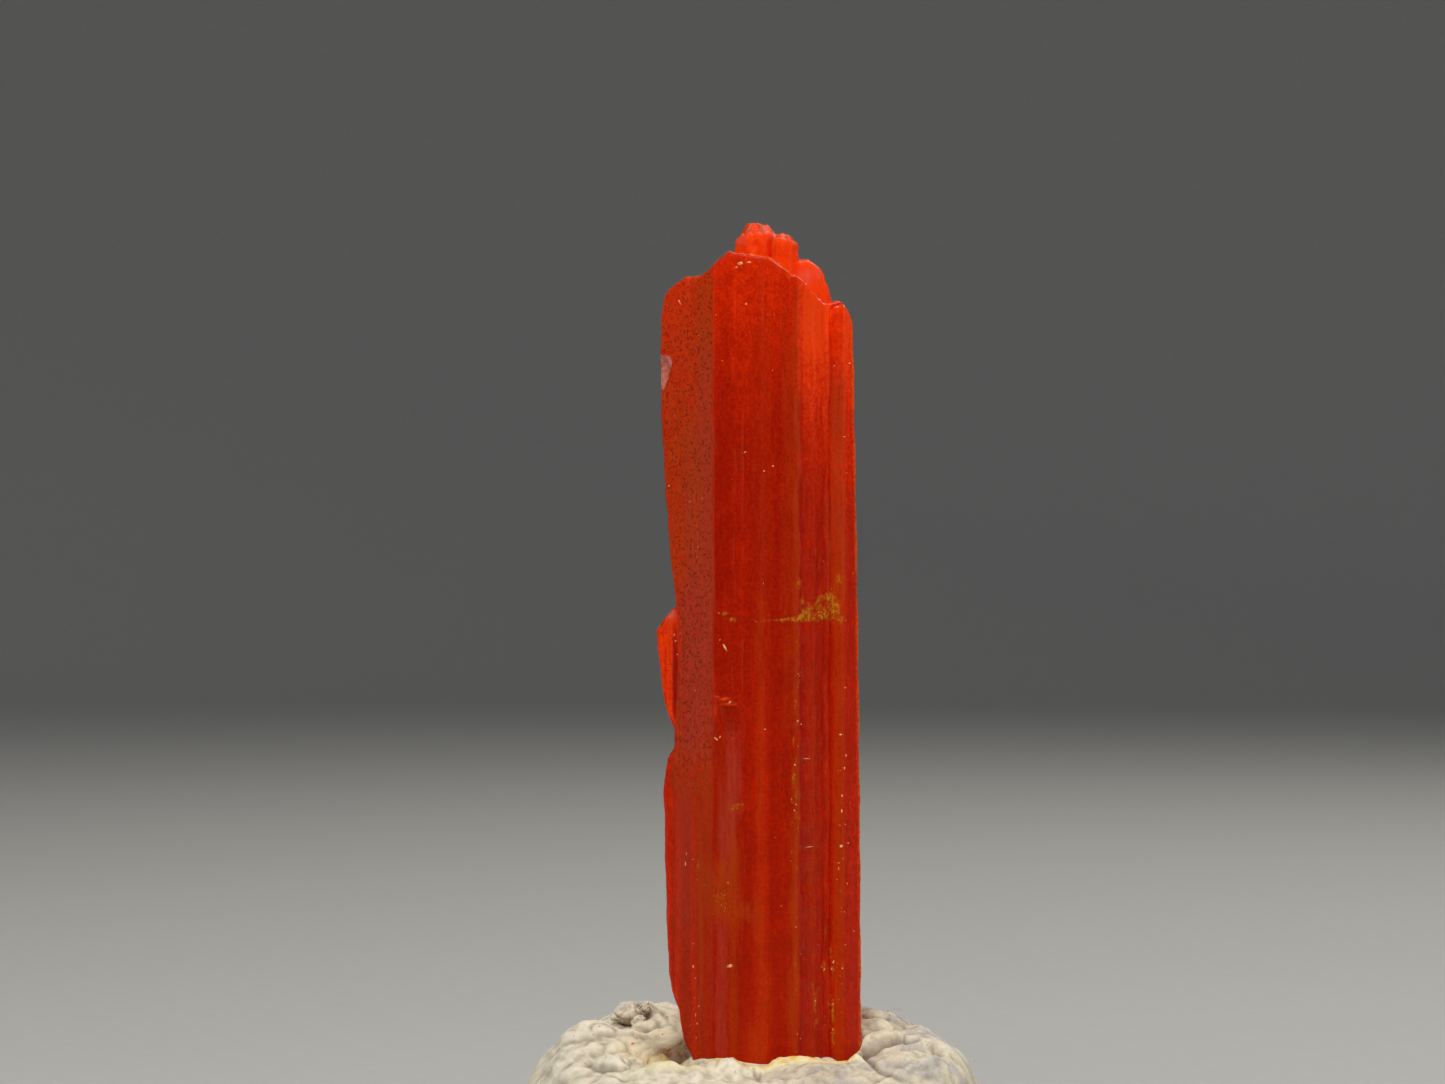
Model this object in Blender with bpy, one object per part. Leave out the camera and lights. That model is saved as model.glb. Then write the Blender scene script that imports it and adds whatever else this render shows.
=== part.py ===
"""A crocoite crystal standing in a lump of mounting putty.

The crystal is one solid: a striated front slab with parallel rods grown on its back and side,
whose tips stand up behind it as knobs. Its broken foot sits in a socket in the putty.

Sizes are in millimetres until a mesh is made. X runs to the right, Y away from the viewer and
Z up from the surface that the putty rests on, with the origin at the middle of the putty's base.
"""

import math
import random
from dataclasses import dataclass

import bmesh
import bpy
from mathutils import Vector, noise

MM = 0.001

# The crystal's driving sizes
FOOT_Z = 4.5
PRISM_SLOPE = math.tan(math.radians(43.2))
RIB_WIDTH = 0.62
RIB_WALL = 0.07
RIB_WANDER = 0.22
RIB_DEPTHS = (0.0, 0.04, 0.075)
TIP_RINGS = (0.93, 0.75, 0.4)
TIP_BAND = 0.4
BAR_INSET = (0.12, 0.36)
SLAB_INSET = 0.12

# The silhouette's two sides, as (height, x)
LEFT_EDGE = (
    (4.5, -2.1), (8.5, -2.6), (9.4, -3.05), (11.5, -3.4), (21.7, -3.44), (26.7, -3.38),
    (29.7, -3.68), (32.9, -3.88), (34.9, -3.96), (38.0, -3.96),
)
RIGHT_EDGE = ((4.5, 3.9), (10.0, 4.04), (17.7, 4.0), (23.3, 3.94), (30.5, 3.84), (38.0, 3.7))

# The top edges of the slab, the finger and the low knob, as (x, height)
TOP_EDGE = (
    (-3.96, 38.63), (-3.87, 39.33), (-3.68, 39.7), (-3.13, 40.01), (-2.31, 39.95), (-1.93, 40.19),
    (-1.26, 40.73), (-0.37, 40.6), (0.34, 40.48), (0.96, 40.05), (1.17, 39.82), (1.62, 39.7),
    (2.0, 39.35), (2.53, 39.01), (3.27, 39.24), (3.56, 38.93),
)
FINGER_TOP = ((2.7, 38.5), (3.0, 38.7), (3.3, 38.73), (3.55, 38.55), (3.75, 38.15))
LOW_KNOB_TOP = (
    (1.5, 40.6), (1.9, 40.65), (2.3, 40.4), (2.6, 40.05), (2.8, 39.6), (2.88, 39.3),
)

# The outer edges of the spur on the left side, and of the root below it, as (height, x)
SPUR_EDGE = ((21.9, -3.5), (22.9, -3.94), (24.9, -4.18), (25.9, -4.34))
ROOT_EDGE = (
    (10.0, -3.05), (11.2, -3.5), (12.1, -3.66), (14.9, -3.76), (19.3, -3.86), (20.4, -3.72),
)

# The putty's driving sizes
PUTTY_CENTRE = (0.0, 0.2)
PUTTY_REACH = {"left": 10.5, "right": 9.9, "front": 9.0, "back": 9.3}
PUTTY_COLUMNS = 84
SOCKET_GAP = 0.4
SOCKET_TOP = 10.2
SOCKET_FLOOR = FOOT_Z - 0.8
SOCKET_FLOOR_RING = 0.6
LIP_ROUND = 0.35
LUMP_SIZE = 2.6
LUMP_HEIGHT = 0.28
SIDE_LUMPS = 3.0
RIM_FADE = 0.25

# The putty's outer profile, as (share of its reach, height), from the rim to the base
PUTTY_PROFILE = (
    (0.4, 10.0), (0.5, 9.95), (0.6, 9.8), (0.7, 9.4), (0.77, 8.95), (0.83, 8.35), (0.88, 7.5),
    (0.94, 6.3), (0.985, 4.8), (1.0, 3.6), (0.985, 2.2), (0.94, 1.0), (0.89, 0.3), (0.87, 0.0),
)
PUTTY_TOP_SHARE = 0.7
PUTTY_TOP_RINGS = 5
WIDEST_HEIGHT = 3.6

# Lumps and hollows pressed into the putty, as (x, y, width, height)
PUTTY_PRESSES = {
    "front_dip": (0.3, -5.2, 3.4, -1.75),
    "left_front_dip": (-5.4, -4.2, 2.0, -0.5),
    "left_hollow": (-4.4, -1.0, 1.2, -1.3),
    "left_crown": (-4.9, 3.0, 0.9, 0.5),
    "right_crown": (4.6, 2.8, 1.4, 0.15),
    "right_fold": (6.1, -1.2, 0.9, -0.45),
}

CRYSTAL_RED = (0.62, 0.035, 0.008, 1.0)
PUTTY_GREY = (0.62, 0.58, 0.5, 1.0)


@dataclass
class Rod:
    """One of the parallel rods that grew together. All of them share the same face directions.

    An edge or a crown is a number, or a profile of points along the rod or across it.
    """

    name: str
    left: object
    right: object
    front: float
    back: float
    front_flat: tuple
    back_flat: tuple
    crown: object
    lean: tuple = (0.0, -0.2)
    shoulder: float = 0.25
    flat_share: float = 0.4
    foot: float = FOOT_Z


def bar(name, x_range, y_range, crown, lean=(0.0, -0.2), shoulder=0.25, foot=FOOT_Z):
    """A plain rod, whose front and back faces each take an uneven middle part of its width."""
    x0, x1 = x_range
    rng = random.Random(name)
    inset = [rng.uniform(*BAR_INSET) * (x1 - x0) for _ in range(4)]
    front = (x0 + inset[0], x1 - inset[1])
    back = (x0 + inset[2], x1 - inset[3])
    return Rod(name, x0, x1, *y_range, front, back, crown, lean, shoulder, foot=foot)


SLAB = Rod(
    "front_slab", LEFT_EDGE, tuple((z, x - SLAB_INSET) for z, x in RIGHT_EDGE), -2.9, 0.95,
    (-1.88, 1.58), (-2.9, 2.6), TOP_EDGE, lean=(0.0, -0.22), shoulder=0.12, flat_share=0.8,
)

GROWN_ON = (
    Rod("right_finger", 2.72, RIGHT_EDGE, -1.98, 0.35, (3.0, 3.32), (3.1, 3.4), FINGER_TOP,
        shoulder=0.1, flat_share=0.3, foot=5.1),
    Rod("left_spur", SPUR_EDGE, -2.6, -1.75, 0.1, (-3.2, -2.8), (-3.2, -2.8), 26.5,
        lean=(0.5, -0.1), shoulder=0.35, flat_share=0.3, foot=21.6),
    Rod("left_root", ROOT_EDGE, -2.3, -1.45, 0.75, (-3.0, -2.5), (-3.0, -2.5), 21.4,
        lean=(0.5, -0.1), shoulder=0.3, flat_share=0.3, foot=9.7),
    bar("main_knob", (-1.0, 0.84), (-0.35, 1.75), 42.1, (0.05, -0.12), 0.45, foot=30.2),
    bar("side_knob", (0.46, 1.52), (-0.6, 1.25), 41.65, (-0.15, -0.1), foot=31.3),
    bar("low_knob", (1.12, 2.88), (-0.5, 1.5), LOW_KNOB_TOP, (0.0, -0.12), 0.1, foot=4.9),
    bar("back_left", (-3.05, -1.0), (-0.2, 2.35), 37.4, (0.22, -0.3), foot=6.1),
    bar("back_middle", (-1.45, 0.75), (0.9, 2.95), 39.2, (0.1, -0.45), 0.4, foot=4.7),
    bar("back_right", (0.5, 2.35), (0.8, 2.7), 36.3, (-0.35, -0.25), foot=5.2),
    bar("right_back", (1.9, 3.62), (-0.3, 2.05), 34.8, (-0.5, -0.2), 0.4, foot=5.7),
    bar("left_rib", (-2.35, -0.95), (1.5, 2.75), 33.1, (0.3, -0.5), 0.3, foot=6.6),
    bar("thin_rib", (0.15, 0.95), (2.2, 3.0), 30.4, (0.3, -0.6), 0.2, foot=5.4),
)

# Broken-out places, as (centre, radii)
CHIPS = {
    "left_chip": ((-4.2, -1.2, 36.1), (0.62, 0.7, 0.75)),
    "left_nick": ((-3.86, -1.0, 30.3), (0.26, 0.3, 0.24)),
    "crown_notch": ((-2.15, -3.0, 40.05), (0.2, 0.5, 0.3)),
    "front_pit": ((-1.12, -3.12, 21.9), (0.3, 0.34, 0.7)),
    "right_step": ((4.22, -0.6, 25.9), (0.36, 0.9, 0.8)),
    "foot_break": ((3.4, -1.9, 3.9), (1.6, 1.5, 1.5)),
    "heel_break": ((-1.6, 2.6, 3.8), (1.9, 1.6, 1.7)),
}

# The steps of the union that the exact solver leaves open
MANIFOLD_STEPS = ("left_spur", "back_left", "heel_break")


def along(profile, at):
    """The value of a profile of (position, value) points at one position. A number is itself."""
    if isinstance(profile, (int, float)):
        return profile
    if at <= profile[0][0]:
        return profile[0][1]
    for (a, start), (b, end) in zip(profile, profile[1:]):
        if at <= b:
            return start + (end - start) * (at - a) / (b - a)
    return profile[-1][1]


def top_of(rod):
    """The highest that the rod's crown reaches."""
    return max(height for _, height in rod.crown) if isinstance(rod.crown, tuple) else rod.crown


def corners(rod, z):
    """The rod's eight corners at one height, anticlockwise from the front face's left end."""
    x0 = along(rod.left, z)
    x1 = along(rod.right, z)
    a, b = rod.front_flat
    c, d = rod.back_flat
    return [
        Vector((a, rod.front)),
        Vector((b, rod.front)),
        Vector((x1, rod.front + (x1 - b) * PRISM_SLOPE)),
        Vector((x1, rod.back - (x1 - d) * PRISM_SLOPE)),
        Vector((d, rod.back)),
        Vector((c, rod.back)),
        Vector((x0, rod.back - (c - x0) * PRISM_SLOPE)),
        Vector((x0, rod.front + (a - x0) * PRISM_SLOPE)),
    ]


def face_ribs(width, rng):
    """The ribs across one face, as (share of the width, depth below the face) points."""
    count = max(1, round(width / RIB_WIDTH))
    wall = RIB_WALL / width
    points = [(0.0, 0.0)]
    depth = 0.0
    for rib in range(1, count):
        at = (rib + rng.uniform(-RIB_WANDER, RIB_WANDER)) / count
        points.append((at - wall, depth))
        depth = 0.0 if rib == count - 1 else rng.choice([d for d in RIB_DEPTHS if d != depth])
        points.append((at + wall, depth))
    return points


def rod_ribs(rod):
    """The ribs of all eight faces, cut the same way at every height, as a crystal's striations are."""
    rng = random.Random(rod.name)
    ring = corners(rod, top_of(rod))
    return [face_ribs((end - start).length, rng) for start, end in zip(ring, ring[1:] + ring[:1])]


def outline(rod, ribs, z):
    """The rod's ribbed cross-section at one height."""
    ring = corners(rod, z)
    points = []
    for start, end, face in zip(ring, ring[1:] + ring[:1], ribs):
        run = end - start
        inward = Vector((-run.y, run.x)).normalized()
        points += [start + run * share + inward * depth for share, depth in face]
    return points


def top_height(rod, x, y, share):
    """The height of the rod's tip. Its share is 0 at the middle of the tip and 1 at its rim."""
    beyond = max(0.0, share - rod.flat_share) / (1 - rod.flat_share)
    middle = (rod.front_flat[0] + rod.front_flat[1]) / 2
    return (
        along(rod.crown, x)
        + rod.lean[0] * (x - middle)
        + rod.lean[1] * (y - rod.front)
        - rod.shoulder * beyond * beyond
    )


def levels(rod):
    """The shares of the rod's height at which its outline is set, from its own edge profiles."""
    heights = set()
    for profile in (rod.left, rod.right):
        if isinstance(profile, tuple):
            heights |= {z for z, _ in profile}
    top = top_of(rod)
    inside = sorted(z for z in heights if rod.foot < z < top - TIP_BAND)
    return [0.0] + [(z - rod.foot) / (top - rod.foot) for z in inside] + [1.0]


def bridge(bm, lower, upper):
    """Joins two rings of vertices with a band of faces that point outwards."""
    for i in range(len(lower)):
        j = (i + 1) % len(lower)
        bm.faces.new((lower[i], lower[j], upper[j], upper[i]))


def close_with_fan(bm, ring, middle, upwards):
    """Closes a ring of vertices with triangles to one in its middle."""
    for i in range(len(ring)):
        j = (i + 1) % len(ring)
        bm.faces.new((ring[i], ring[j], middle) if upwards else (ring[j], ring[i], middle))


def vertex(bm, x, y, z):
    return bm.verts.new((x * MM, y * MM, z * MM))


def mesh_object(name, bm):
    """A named object from a finished mesh in metres."""
    bmesh.ops.triangulate(bm, faces=[f for f in bm.faces if len(f.verts) > 3])
    mesh = bpy.data.meshes.new(name)
    bm.to_mesh(mesh)
    bm.free()
    obj = bpy.data.objects.new(name, mesh)
    bpy.context.scene.collection.objects.link(obj)
    return obj


def rod_object(rod):
    """One rod as a closed solid: its ribbed sides, a faceted tip and a plain foot."""
    bm = bmesh.new()
    ribs = rod_ribs(rod)
    rim = outline(rod, ribs, top_of(rod))
    middle = sum(rim, Vector((0.0, 0.0))) / len(rim)
    tops = [top_height(rod, p.x, p.y, 1.0) for p in rim]
    rings = []
    for share in levels(rod):
        heights = [rod.foot + share * (top - rod.foot) for top in tops]
        row = [outline(rod, ribs, z)[i] for i, z in enumerate(heights)]
        rings.append([vertex(bm, p.x, p.y, z) for p, z in zip(row, heights)])
    for lower, upper in zip(rings, rings[1:]):
        bridge(bm, lower, upper)
    for share in TIP_RINGS:
        inner = [middle + (p - middle) * share for p in rim]
        rings.append([vertex(bm, p.x, p.y, top_height(rod, p.x, p.y, share)) for p in inner])
        bridge(bm, rings[-2], rings[-1])
    tip = vertex(bm, middle.x, middle.y, top_height(rod, middle.x, middle.y, 0.0))
    close_with_fan(bm, rings[-1], tip, upwards=True)
    heel = vertex(bm, middle.x, middle.y, rod.foot)
    close_with_fan(bm, rings[0], heel, upwards=False)
    return mesh_object(rod.name, bm)


def chip_object(name, centre, radii):
    """An ellipsoid that breaks a shell-shaped chip out of the crystal."""
    bm = bmesh.new()
    bmesh.ops.create_icosphere(bm, subdivisions=2, radius=1.0)
    for v in bm.verts:
        v.co = [(c + r * part) * MM for c, r, part in zip(centre, radii, v.co)]
    return mesh_object(name, bm)


def combine(base, other, operation):
    """Adds a Boolean to the base, and hides the object that it takes."""
    modifier = base.modifiers.new(other.name, "BOOLEAN")
    modifier.operation = operation
    modifier.object = other
    modifier.solver = "MANIFOLD" if other.name in MANIFOLD_STEPS else "EXACT"
    other.hide_render = True
    other.display_type = "WIRE"


def make_crystal():
    """The slab with every rod joined to it and every chip broken out of it."""
    crystal = rod_object(SLAB)
    crystal.name = "crocoite_crystal"
    for rod in GROWN_ON:
        combine(crystal, rod_object(rod), "UNION")
    for name, (centre, radii) in CHIPS.items():
        combine(crystal, chip_object(name, centre, radii), "DIFFERENCE")
    return crystal


def ray_reach(ring, centre, direction):
    """How far from the centre a ray last crosses a ring of points, or 0 where it misses the ring."""
    farthest = 0.0
    for start, end in zip(ring, ring[1:] + ring[:1]):
        run = end - start
        across = direction.x * run.y - direction.y * run.x
        if across == 0.0:
            continue
        offset = start - centre
        distance = (offset.x * run.y - offset.y * run.x) / across
        share = (offset.x * direction.y - offset.y * direction.x) / across
        if 0.0 <= share <= 1.0:
            farthest = max(farthest, distance)
    return farthest


def column_direction(column):
    angle = 2 * math.pi * column / PUTTY_COLUMNS
    return Vector((math.cos(angle), math.sin(angle)))


def socket_radii(centre):
    """The socket's radius in each column's direction: what clears every rod, and its neighbours'."""
    rods = [rod for rod in (SLAB, *GROWN_ON) if rod.foot < SOCKET_TOP]
    rings = [corners(rod, SOCKET_TOP) for rod in rods]
    reaches = []
    for column in range(PUTTY_COLUMNS):
        direction = column_direction(column)
        reaches.append(max(ray_reach(ring, centre, direction) for ring in rings))
    turned = zip(reaches[-1:] + reaches[:-1], reaches, reaches[1:] + reaches[:1])
    return [max(three) + SOCKET_GAP for three in turned]


def putty_reach(direction):
    """The putty's widest radius in one direction, a rounded shape with four different reaches."""
    side = PUTTY_REACH["right"] if direction.x > 0 else PUTTY_REACH["left"]
    depth = PUTTY_REACH["back"] if direction.y > 0 else PUTTY_REACH["front"]
    return 1 / math.hypot(direction.x / side, direction.y / depth)


def pressed(x, y):
    """The height that the lumps and hollows add at one place."""
    return sum(
        height * math.exp(-((x - px) ** 2 + (y - py) ** 2) / (2 * width * width))
        for px, py, width, height in PUTTY_PRESSES.values()
    )


def putty_height(x, y, share):
    """The height of the putty's upper surface at one place, at a share of its reach."""
    fade = min(1.0, max(0.0, (1.0 - share) / RIM_FADE))
    lumps = LUMP_HEIGHT * noise.noise(Vector((x, y, 2 * LUMP_SIZE)) / LUMP_SIZE)
    return along(PUTTY_PROFILE, share) + (pressed(x, y) + lumps) * fade


def putty_column(direction, wall, centre):
    """The points of one meridian, from the socket's floor over the lip and out to the base."""
    reach = putty_reach(direction)

    def at(radius, z):
        point = centre + direction * radius
        return (point.x, point.y, z)

    def on_top(radius):
        point = centre + direction * radius
        return (point.x, point.y, putty_height(point.x, point.y, radius / reach))

    start = wall + LIP_ROUND
    lip = on_top(start)
    bend = LIP_ROUND * (1 - math.sqrt(0.5))
    points = [
        at(wall * SOCKET_FLOOR_RING, SOCKET_FLOOR),
        at(wall, SOCKET_FLOOR),
        at(wall, (SOCKET_FLOOR + lip[2]) / 2),
        at(wall, lip[2] - LIP_ROUND),
        at(wall + bend, lip[2] - bend),
        lip,
    ]
    end = PUTTY_TOP_SHARE * reach
    for ring in range(1, PUTTY_TOP_RINGS + 1):
        points.append(on_top(start + (end - start) * ring / PUTTY_TOP_RINGS))
    for share, height in PUTTY_PROFILE:
        if share <= PUTTY_TOP_SHARE:
            continue
        if height > WIDEST_HEIGHT:
            points.append(on_top(share * reach))
        elif height > 0:
            place = Vector((direction.x, direction.y, height / (2 * WIDEST_HEIGHT)))
            points.append(at(share * reach + LUMP_HEIGHT * noise.noise(place * SIDE_LUMPS), height))
        else:
            points.append(at(share * reach, height))
    return points


def make_putty():
    """The lump of putty: a ring of meridians, closed by the socket's floor and the flat base."""
    centre = Vector(PUTTY_CENTRE)
    bm = bmesh.new()
    columns = []
    for column, wall in enumerate(socket_radii(centre)):
        points = putty_column(column_direction(column), wall, centre)
        columns.append([vertex(bm, *p) for p in points])
    rings = list(zip(*columns))
    for inner, outer in zip(rings, rings[1:]):
        bridge(bm, outer, inner)
    floor = vertex(bm, centre.x, centre.y, SOCKET_FLOOR)
    close_with_fan(bm, rings[0], floor, upwards=True)
    base = vertex(bm, 0.0, 0.0, 0.0)
    close_with_fan(bm, rings[-1], base, upwards=False)
    return mesh_object("putty_base", bm)


def material(name, colour, roughness):
    made = bpy.data.materials.new(name)
    made.use_nodes = True
    shader = made.node_tree.nodes["Principled BSDF"]
    shader.inputs["Base Color"].default_value = colour
    shader.inputs["Roughness"].default_value = roughness
    shader.inputs["Metallic"].default_value = 0.0
    return made


def main():
    for old in list(bpy.data.objects):
        bpy.data.objects.remove(old)
    crystal = make_crystal()
    crystal.data.materials.append(material("crocoite", CRYSTAL_RED, roughness=0.3))
    putty = make_putty()
    putty.data.materials.append(material("putty", PUTTY_GREY, roughness=0.75))


main()
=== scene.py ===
"""A crocoite crystal in its lump of mounting putty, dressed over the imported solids.

The crystal is built again from the same rods as its solid, with its fine ribs, worn edges, etch
pits, chips and broken tips. The putty is kneaded around it, with folds, crumbs and hairs.

Sizes are in millimetres until a mesh is made, on the frame's own axes.
"""

import math
import random
from dataclasses import dataclass

import bmesh
import bpy
import numpy as np
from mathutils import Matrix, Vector, noise
from mathutils.bvhtree import BVHTree


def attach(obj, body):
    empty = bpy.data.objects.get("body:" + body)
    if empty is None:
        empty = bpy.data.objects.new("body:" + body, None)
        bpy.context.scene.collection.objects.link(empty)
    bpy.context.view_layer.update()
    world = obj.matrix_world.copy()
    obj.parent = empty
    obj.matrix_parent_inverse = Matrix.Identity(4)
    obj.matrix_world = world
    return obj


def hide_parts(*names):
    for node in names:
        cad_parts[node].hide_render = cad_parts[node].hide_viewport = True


MM = 0.001

# ---- The crystal's sizes, as in its solid ----

FOOT = 4.5
PRISM_SLOPE = math.tan(math.radians(43.2))
FACES = 8
SLAB_INSET = 0.12
BAR_INSET = (0.12, 0.36)

LEFT_EDGE = (
    (4.5, -2.1), (8.5, -2.6), (9.4, -3.05), (11.5, -3.4), (21.7, -3.44), (26.7, -3.38),
    (29.7, -3.68), (32.9, -3.88), (34.9, -3.96), (38.0, -3.96),
)
RIGHT_EDGE = ((4.5, 3.9), (10.0, 4.04), (17.7, 4.0), (23.3, 3.94), (30.5, 3.84), (38.0, 3.7))
TOP_EDGE = (
    (-3.96, 38.63), (-3.87, 39.33), (-3.68, 39.7), (-3.13, 40.01), (-2.31, 39.95), (-1.93, 40.19),
    (-1.26, 40.73), (-0.37, 40.6), (0.34, 40.48), (0.96, 40.05), (1.17, 39.82), (1.62, 39.7),
    (2.0, 39.35), (2.53, 39.01), (3.27, 39.24), (3.56, 38.93),
)
FINGER_TOP = ((2.7, 38.5), (3.0, 38.7), (3.3, 38.73), (3.55, 38.55), (3.75, 38.15))
LOW_KNOB_TOP = (
    (1.5, 40.6), (1.9, 40.65), (2.3, 40.4), (2.6, 40.05), (2.8, 39.6), (2.88, 39.3),
)
SPUR_EDGE = (
    (21.7, -3.42), (22.0, -3.56), (22.4, -3.72), (22.8, -3.84), (24.1, -3.99), (25.3, -4.15),
    (26.5, -4.2),
)
SPUR_TOP = (
    (-4.3, 25.75), (-4.16, 25.95), (-3.91, 26.1), (-3.73, 26.34), (-3.37, 26.6), (-2.8, 26.8),
)
ROOT_EDGE = (
    (10.0, -3.05), (11.2, -3.5), (12.1, -3.66), (14.9, -3.76), (19.3, -3.86), (20.4, -3.72),
)

# The fine relief of the crystal
EDGE_ROUND = 0.05
RIB_WINDOW = 0.1
LOBE_SIZE = 0.42
LOBE_FADE = (0.3, 1.6)
RIM_BAND = 0.9
STEP_SHARE = 0.6
PLAIN_FACE_STEP = 3.5
FRACTURE_LINE = (
    (-2.0, 26.3), (-1.3, 26.28), (-0.6, 26.05), (0.5, 26.1), (1.6, 26.18), (3.6, 26.1),
)
FRACTURE_KNOB = (-1.35, 26.35, 0.3, 0.1)
SHARP_ANGLE = math.radians(27)

# The slab's faces with marks of their own, and the etch pits of its matte facet
FRONT_SIDE, RIGHT_SIDE, FACET_SIDE = 0, 1, 7
FACET_WIDTH = 2.85
PIT_HEIGHTS = (18.5, 39.0)
PIT_COUNT = 460
PIT_SEED = 5

# Where the glossy growths on the left meet the matte facet, as (height, x)
SPUR_LINE = ((21.4, -3.5), (22.4, -3.36), (23.5, -3.26), (25.0, -3.22), (26.6, -3.3))
ROOT_LINE = (
    (9.0, -2.9), (11.0, -3.35), (13.0, -3.52), (17.0, -3.46), (20.5, -3.52), (21.3, -3.6),
)
# Between these heights the knobs behind the slab come into sight
KNOB_HEIGHTS = (38.4, 39.6)

# How thick the crystal is where its painted inner glow has faded
PAINTED_GLOW_DEPTH = 2.2
# The tables of BANDS hold upright colour bands on the front, as (left, right, low, high,
# strength, softness), and the tables of SPOTS round marks, as (x, height, half width,
# half height, strength)
BAND_FADE = 1.2
# Bands of painted glow where light would come through the crystal, with a few darker and lighter
# streaks of its own
PAINTED_GLOW_AND_STREAK_BANDS = (
    (1.5, 4.4, 6.0, 45.0, 0.1, 0.05),
    (1.5, 4.4, 31.5, 45.0, 0.2, 0.12),
    (1.55, 2.7, 34.5, 45.0, 0.16, 0.2),
    (3.38, 4.4, 6.0, 45.0, 0.1, 0.05),
    (2.82, 3.34, 33.0, 45.0, -0.22, 0.06),
    (-4.4, -3.0, 27.0, 45.0, 0.22, 0.35),
    (-0.3, 0.3, 6.0, 24.0, 0.1, 0.14),
    (-1.85, -1.5, 8.0, 38.0, -0.08, 0.1), (-1.95, -1.62, 14.5, 21.5, -0.25, 0.05),
    (0.45, 0.8, 8.0, 36.0, -0.08, 0.12),
    (-1.1, -0.5, 26.5, 40.0, 0.08, 0.15),
    (-2.02, -1.88, 8.0, 22.0, -0.2, 0.04), (-1.76, -1.64, 8.0, 18.0, 0.14, 0.04),
    (-2.36, -2.26, 8.0, 20.0, -0.16, 0.04), (-0.94, -0.86, 8.0, 20.0, -0.15, 0.04),
    (0.4, 0.5, 8.0, 20.0, -0.12, 0.04), (2.2, 2.3, 8.0, 30.0, -0.12, 0.04),
    (-3.4, -3.15, 8.0, 18.5, 0.3, 0.06), (-2.75, -2.55, 8.0, 18.5, 0.25, 0.05),
    (-2.28, -2.02, 8.0, 19.0, -0.35, 0.04), (-2.98, -2.86, 8.0, 18.0, -0.2, 0.04),
    (1.56, 1.68, 8.0, 40.0, -0.12, 0.05),
)
# The painted glow rises with the height, as (from, to, strength)
PAINTED_TOP_GLOW = (32.5, 40.0, 0.29)
# Spots of painted glow, with painted shade in the hollow under the small growth and darker lines on
# the spur
PAINTED_GLOW_AND_SHADE_SPOTS = (
    (-1.2, 22.3, 0.28, 0.42, -0.5), (-0.45, 8.9, 0.4, 1.3, 0.14), (0.1, 8.6, 0.3, 0.9, 0.08),
    (2.3, 38.4, 0.7, 1.6, 0.2), (-3.3, 38.6, 0.5, 1.0, 0.15), (-3.42, 24.0, 0.06, 1.6, -0.5),
    (-3.78, 24.0, 0.06, 1.5, -0.2),
)
TAN_BANDS = (
    (-2.5, -1.88, 36.0, 39.8, 0.75, 0.06), (-2.5, -1.88, 26.5, 36.0, 0.3, 0.06),
    (-3.6, -2.4, 28.0, 34.5, 0.3, 0.3),
    (0.9, 1.3, 21.5, 37.8, 0.28, 0.16),
    (1.28, 1.5, 8.0, 39.5, 0.55, 0.06),
    (2.78, 3.36, 26.5, 35.6, 0.6, 0.07),
    (2.94, 3.34, 8.0, 27.5, 0.65, 0.06),
    (-0.15, 0.15, 8.0, 27.0, 0.3, 0.07),
    (-0.3, 0.45, 24.0, 38.0, 0.1, 0.2),
    (-2.45, -2.33, 8.0, 17.2, 0.8, 0.03),
    (-2.3, -1.9, 15.0, 21.0, 0.3, 0.15),
    (-1.75, -0.95, 8.0, 22.0, 0.2, 0.06),
    (-1.2, -0.85, 8.0, 17.5, 0.4, 0.1), (1.9, 2.2, 8.0, 24.0, 0.25, 0.12),
    (-2.5, -2.3, 13.5, 18.0, 0.5, 0.05), (1.1, 1.45, 8.0, 18.0, 0.3, 0.1),
)
TAN_SPOTS = (
    (-2.0, 15.9, 0.5, 0.6, 0.5), (-1.2, 14.6, 0.8, 0.45, 0.6), (-0.9, 16.0, 0.2, 0.9, 0.5),
    (1.25, 14.5, 0.18, 0.8, 0.5), (1.3, 19.6, 0.16, 0.7, 0.5), (1.2, 11.0, 0.2, 1.2, 0.4),
    (2.1, 16.2, 0.3, 0.7, 0.3), (0.3, 11.5, 0.25, 1.5, 0.3), (-2.5, 24.0, 0.4, 1.5, 0.25),
    (-1.0, 18.7, 0.35, 0.15, 0.8), (-1.45, 16.3, 0.3, 0.3, 0.7), (-1.7, 14.9, 0.45, 0.35, 0.8),
    (-1.3, 15.2, 0.3, 0.3, 0.6), (-1.1, 17.3, 0.15, 0.8, 0.5), (-2.1, 15.6, 0.35, 0.3, 0.6),
    (-1.4, 15.6, 0.26, 0.7, 0.8), (-0.15, 9.2, 0.42, 1.0, 0.6), (-0.6, 14.5, 0.5, 0.3, 0.35),
    (-0.1, 14.2, 0.2, 0.9, 0.4), (-1.6, 22.6, 0.12, 0.3, 0.6), (-1.45, 22.95, 0.22, 0.07, 0.7),
    (1.9, 17.1, 0.5, 0.05, 0.6), (1.85, 20.6, 0.35, 0.05, 0.6), (1.2, 17.9, 0.2, 0.5, 0.4),
    (-2.6, 31.5, 0.4, 1.4, 0.4), (-3.0, 29.0, 0.5, 1.0, 0.3), (-3.0, 32.9, 0.35, 1.3, 0.5),
    (3.3, 29.0, 0.15, 0.6, 0.5),
)
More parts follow.
